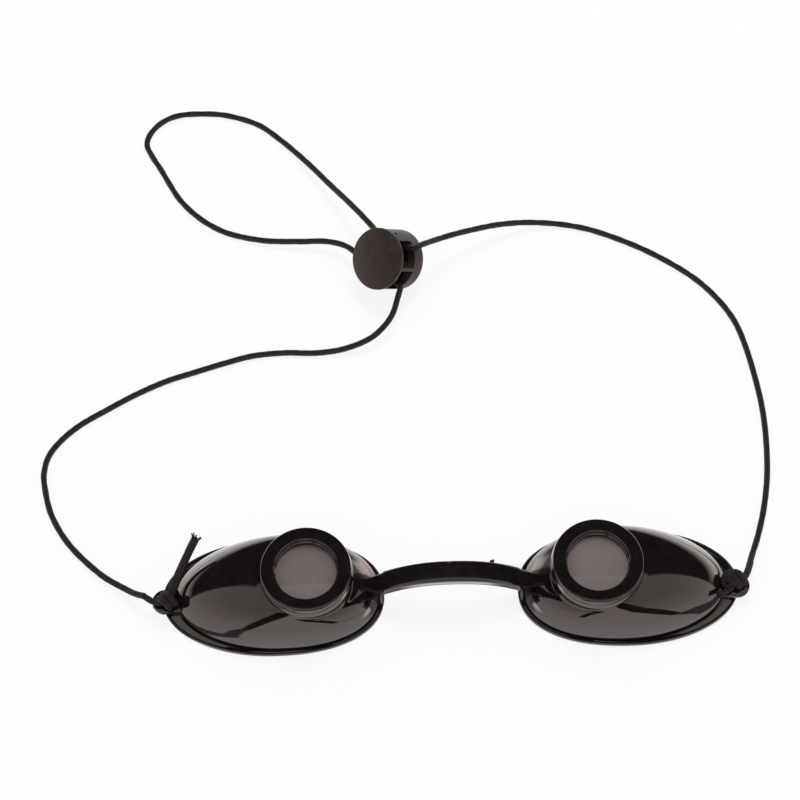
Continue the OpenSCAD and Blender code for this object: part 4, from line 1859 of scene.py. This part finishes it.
@dataclass
class Studio:
    """The camera at the photograph's angle, a pale floor and soft light.

    In reflections the floor and the sky carry a dark band across each dome. Each of its edges has a
    left and a right weight for each value that it is worked out from.
    """

    camera_place: Triple = (-0.01930, -0.22453, 0.54377)
    elevation: float = 63.0
    turn: float = -1.8
    focal: float = 110.0
    sensor: float = 36.0
    clip: Pair = (0.01, 50.0)
    floor_colour: Triple = (0.95, 0.95, 0.95)
    floor_size: float = 6.0
    floor_share: float = 0.86
    floor_inner: tuple = ((0.71, 0.55), (0.0696, 0.074))
    floor_outer: tuple = ((-0.4, -0.66), (0.0464, 0.056))
    floor_width: tuple = ((-0.12, -0.7), (0.004, 0.012))
    floor_blur: float = 0.001
    band_end: Pair = (0.001, 0.007)
    band_depth: float = 0.95
    ground_places: Pair = (-0.005, 0.03)
    ground_levels: Pair = (1.2, 2.7)
    shelter_reach: float = 0.02
    shelter_range: Pair = (0.3, 1.0)
    shelter_level: float = 0.5
    # Two patches by the strap, one darker and one brighter: half width, near edge and far edge
    dark_patch: tuple = ((0.014, 0.018), (-0.0095, -0.0065), (0.0, 0.004))
    dark_depth: float = 0.6
    pale_patch: tuple = ((0.008, 0.013), (-0.016, -0.011), (-0.0072, -0.0058))
    pale_level: float = 2.2
    card_corners: tuple = ((0, 9, 1), (0, 28, 1), (0, 9, 14), (0, 16, 40))
    card_colour: Triple = (1.0, 0.97, 0.97)
    card_strength: float = 3.9
    sky: float = 0.64
    panel_low: tuple = ((0.4, 0.69), (-0.15, -0.6))
    panel_high: tuple = ((0.4, 0.4), (-0.15, -0.15))
    box_low: tuple = ((0.52, 0.9), (0.0, -0.25))
    box_high: tuple = ((0.52, 0.62), (0.0, 0.0))
    sky_blur: float = 0.015
    panel_slope: float = 2.6
    panel_blur: float = 0.05
    panel_level: float = 1.2
    box_slope: float = 0.31
    box_blur: float = 0.02
    box_heights: Pair = (0.2, 1.0)
    box_levels: Pair = (1.1, 0.55)
    back_height: float = 0.3
    back_depth: float = 0.25
    back_level: float = 2.1
    least_level: float = 0.02
    lamp: Lamp = Lamp("overhead_key", (0.06, 0.34, 0.76), (0.26, 0.26), 12.0)

    def build_camera(self) -> None:
        """Sets the camera up and makes it the scene's own."""
        data = bpy.data.cameras.new("camera")
        data.lens = self.focal
        data.sensor_width = self.sensor
        data.clip_start, data.clip_end = self.clip
        camera = bpy.data.objects.new("camera", data)
        camera.location = self.camera_place
        camera.rotation_euler = (math.radians(90 - self.elevation), 0.0, math.radians(self.turn))
        bpy.context.scene.collection.objects.link(camera)
        bpy.context.scene.camera = camera

    def plane(self, name: str, size: float) -> Piece:
        """Adds a level plane at the origin."""
        clear_selection()
        bpy.ops.mesh.primitive_plane_add(size=size, location=(0, 0, 0))
        plane = bpy.context.object
        plane.name = name
        return plane

    def floor_band(self, graph: Graph, across: Socket, away: Socket) -> Value:
        """Lays the dark band out on the floor: two edges that meet, and a width beyond them.

        Args:
            graph: the floor's graph.
            across: the place to the right.
            away: the place away from the camera.

        Returns:
            1 in the band and 0 outside it.
        """
        inner, outer, width = (
            graph.weighed(across, (away, 1.0), edge)
            for edge in (self.floor_inner, self.floor_outer, self.floor_width)
        )
        past = graph.less(graph.math("ABSOLUTE", across), graph.math("MAXIMUM", inner, outer))
        return graph.product(
            graph.rise(past, -self.floor_blur, self.floor_blur),
            graph.rise(graph.less(width, past), -self.floor_blur, self.floor_blur),
            graph.remap(away, self.band_end, (self.band_depth, 0.0), smooth=True),
        )

    def patch(self, graph: Graph, across: Socket, away: Socket, edges: Sequence[Pair]) -> Value:
        """Lays a soft-edged patch out on the floor.

        Args:
            graph: the floor's graph.
            across: the place to the right.
            away: the place away from the camera.
            edges: its half width, near edge and far edge, each as a start and an end.

        Returns:
            1 in the patch and 0 outside it.
        """
        half, near, far = edges
        sideways = graph.math("ABSOLUTE", across)
        return graph.product(
            graph.fall(sideways, *half), graph.rise(away, *near), graph.fall(away, *far)
        )

    def mirrored_floor(self, graph: Graph) -> Value:
        """Lays out the floor's brightness in reflections.

        Args:
            graph: the floor's graph.

        Returns:
            The brightness at each place: brighter behind, darker by the pieces and in the band.
        """
        across, away, _ = graph.split(graph.add("ShaderNodeTexCoord").outputs["Object"])
        shelter = graph.add("ShaderNodeAmbientOcclusion", samples=4, Distance=self.shelter_reach)
        dark_patch = self.patch(graph, across, away, self.dark_patch)
        pale_patch = self.patch(graph, across, away, self.pale_patch)
        ground = graph.product(
            graph.remap(away, self.ground_places, self.ground_levels),
            graph.remap(shelter.outputs["AO"], self.shelter_range, (self.shelter_level, 1.0)),
            graph.less(1.0, self.floor_band(graph, across, away)),
            graph.less(1.0, graph.product(dark_patch, self.dark_depth)),
        )
        return graph.total(ground, graph.product(pale_patch, self.pale_level))

    def build_floor(self) -> None:
        """Lays the pale floor: white to the camera but for a faint shadow."""
        floor = self.plane("floor", self.floor_size)
        material = new_material("pale floor")
        graph = Graph(material.node_tree)
        shader = graph.tree.nodes["Principled BSDF"]
        colour = (*self.floor_colour, 1.0)
        graph.fill(shader, Base_Color=colour, Roughness=0.9, Specular_IOR_Level=0.0)
        path = graph.add("ShaderNodeLightPath")
        glossy = path.outputs["Is Glossy Ray"]
        seen = graph.math("MAXIMUM", path.outputs["Is Camera Ray"], glossy)
        glow = graph.glow((1.0, 1.0, 1.0), graph.choose(glossy, 1.0, self.mirrored_floor(graph)))
        mix = graph.add("ShaderNodeMixShader", Fac=graph.product(seen, self.floor_share))
        graph.feed(shader.outputs["BSDF"], mix.inputs[1])
        graph.feed(glow, mix.inputs[2])
        graph.fill(graph.tree.nodes["Material Output"], Surface=mix.outputs["Shader"])
        floor.data.materials.append(material)

    def build_card(self) -> None:
        """Stands a card behind the strap, seen only in reflections: it pales the far nose sides."""
        card = self.plane("bounce_card", 1.0)
        for vertex, corner in zip(card.data.vertices, self.card_corners):
            vertex.co = mm(*corner)
        material = new_material("bounce card")
        graph = Graph(material.node_tree)
        glow = graph.glow(self.card_colour, self.card_strength)
        graph.fill(graph.tree.nodes["Material Output"], Surface=glow)
        card.data.materials.append(material)
        for ray in ("camera", "diffuse", "transmission", "volume_scatter", "shadow"):
            setattr(card, f"visible_{ray}", False)

    def mirrored_sky(self, graph: Graph) -> Value:
        """Lays out the sky in reflections: front panel, broad side boxes and a bright back edge.

        Args:
            graph: the world's graph.

        Returns:
            The brightness in each direction.
        """
        x, y, z = graph.split(graph.add("ShaderNodeTexCoord").outputs["Generated"])
        wide = graph.math("ABSOLUTE", x)
        front = graph.product(y, -1.0)
        panel_low, panel_high, box_low, box_high = (
            graph.weighed(x, (front, z), edge)
            for edge in (self.panel_low, self.panel_high, self.box_low, self.box_high)
        )
        panel_edge = graph.math("MAXIMUM", panel_low, panel_high)
        box_edge = graph.math("MAXIMUM", box_low, box_high)
        raised = graph.product(front, self.panel_slope)
        panel = graph.product(
            graph.rise(graph.less(panel_edge, wide), -self.sky_blur, self.sky_blur),
            graph.rise(graph.less(raised, z), -self.panel_blur, self.panel_blur),
            self.panel_level,
        )
        leaning = graph.total(graph.product(z, self.box_slope), front)
        boxes = graph.product(
            graph.rise(graph.less(wide, box_edge), -self.sky_blur, self.sky_blur),
            graph.rise(leaning, -self.box_blur, self.box_blur),
            graph.rise(z, -self.box_blur, 0.0),
            graph.remap(z, self.box_heights, self.box_levels),
        )
        back = graph.product(
            graph.remap(z, (0.0, self.back_height), (self.back_level, 0.0)),
            graph.rise(y, 0.0, self.back_depth),
        )
        return graph.total(panel, boxes, back, self.least_level)

    def build_world(self) -> None:
        """Surrounds the scene with soft light, white to the camera."""
        world = bpy.data.worlds.new("studio")
        bpy.context.scene.world = world
        world.use_nodes = True
        graph = Graph(world.node_tree)
        path = graph.add("ShaderNodeLightPath")
        glossy = graph.choose(path.outputs["Is Glossy Ray"], self.sky, self.mirrored_sky(graph))
        strength = graph.choose(path.outputs["Is Camera Ray"], glossy, 1.0)
        background = graph.tree.nodes["Background"]
        graph.fill(background, Color=(1.0, 1.0, 1.0, 1.0), Strength=strength)

    def build_light(self) -> None:
        """Lights the scene and keeps its colours plain."""
        self.build_floor()
        self.build_card()
        self.build_world()
        self.lamp.build()
        bpy.context.scene.view_settings.view_transform = "Standard"


def main() -> None:
    """Builds the camera, the cord, the goggles, the lock and the studio, in this order."""
    logging.basicConfig(level=logging.INFO, format="%(message)s")
    studio = Studio()
    studio.build_camera()
    HeadCord().build(BraidedElastic("braided elastic").build())
    cup_finish = GlossyMoulding("black cup moulding", satin=0.2, shaded_foot=0.08).build()
    bezel_finish = GlossyMoulding("black bezel moulding", roughness=(0.035, 0.07)).build()
    lens_finish = SmokedFilter("smoked filter glass").build()
    for side in Side:
        EyeCup(side).build(cup_finish)
        window = Window(side)
        window.build_lens(lens_finish)
        window.build_bezel(bezel_finish)
    strap_finish = GlossyMoulding(
        "black strap moulding", roughness=(0.1, 0.17), shaded_foot=0.08, shaded_half=0.0017
    )
    NoseBridge().build(strap_finish.build())
    lock = CordLock()
    lock_finish = MatteMoulding("matte lock moulding").build()
    lock.build_barrel(lock_finish)
    lock.build_plunger(lock_finish)
    lock.build_spring(DrawnWire("drawn spring wire").build())
    studio.build_light()


if __name__ == "__main__":
    main()
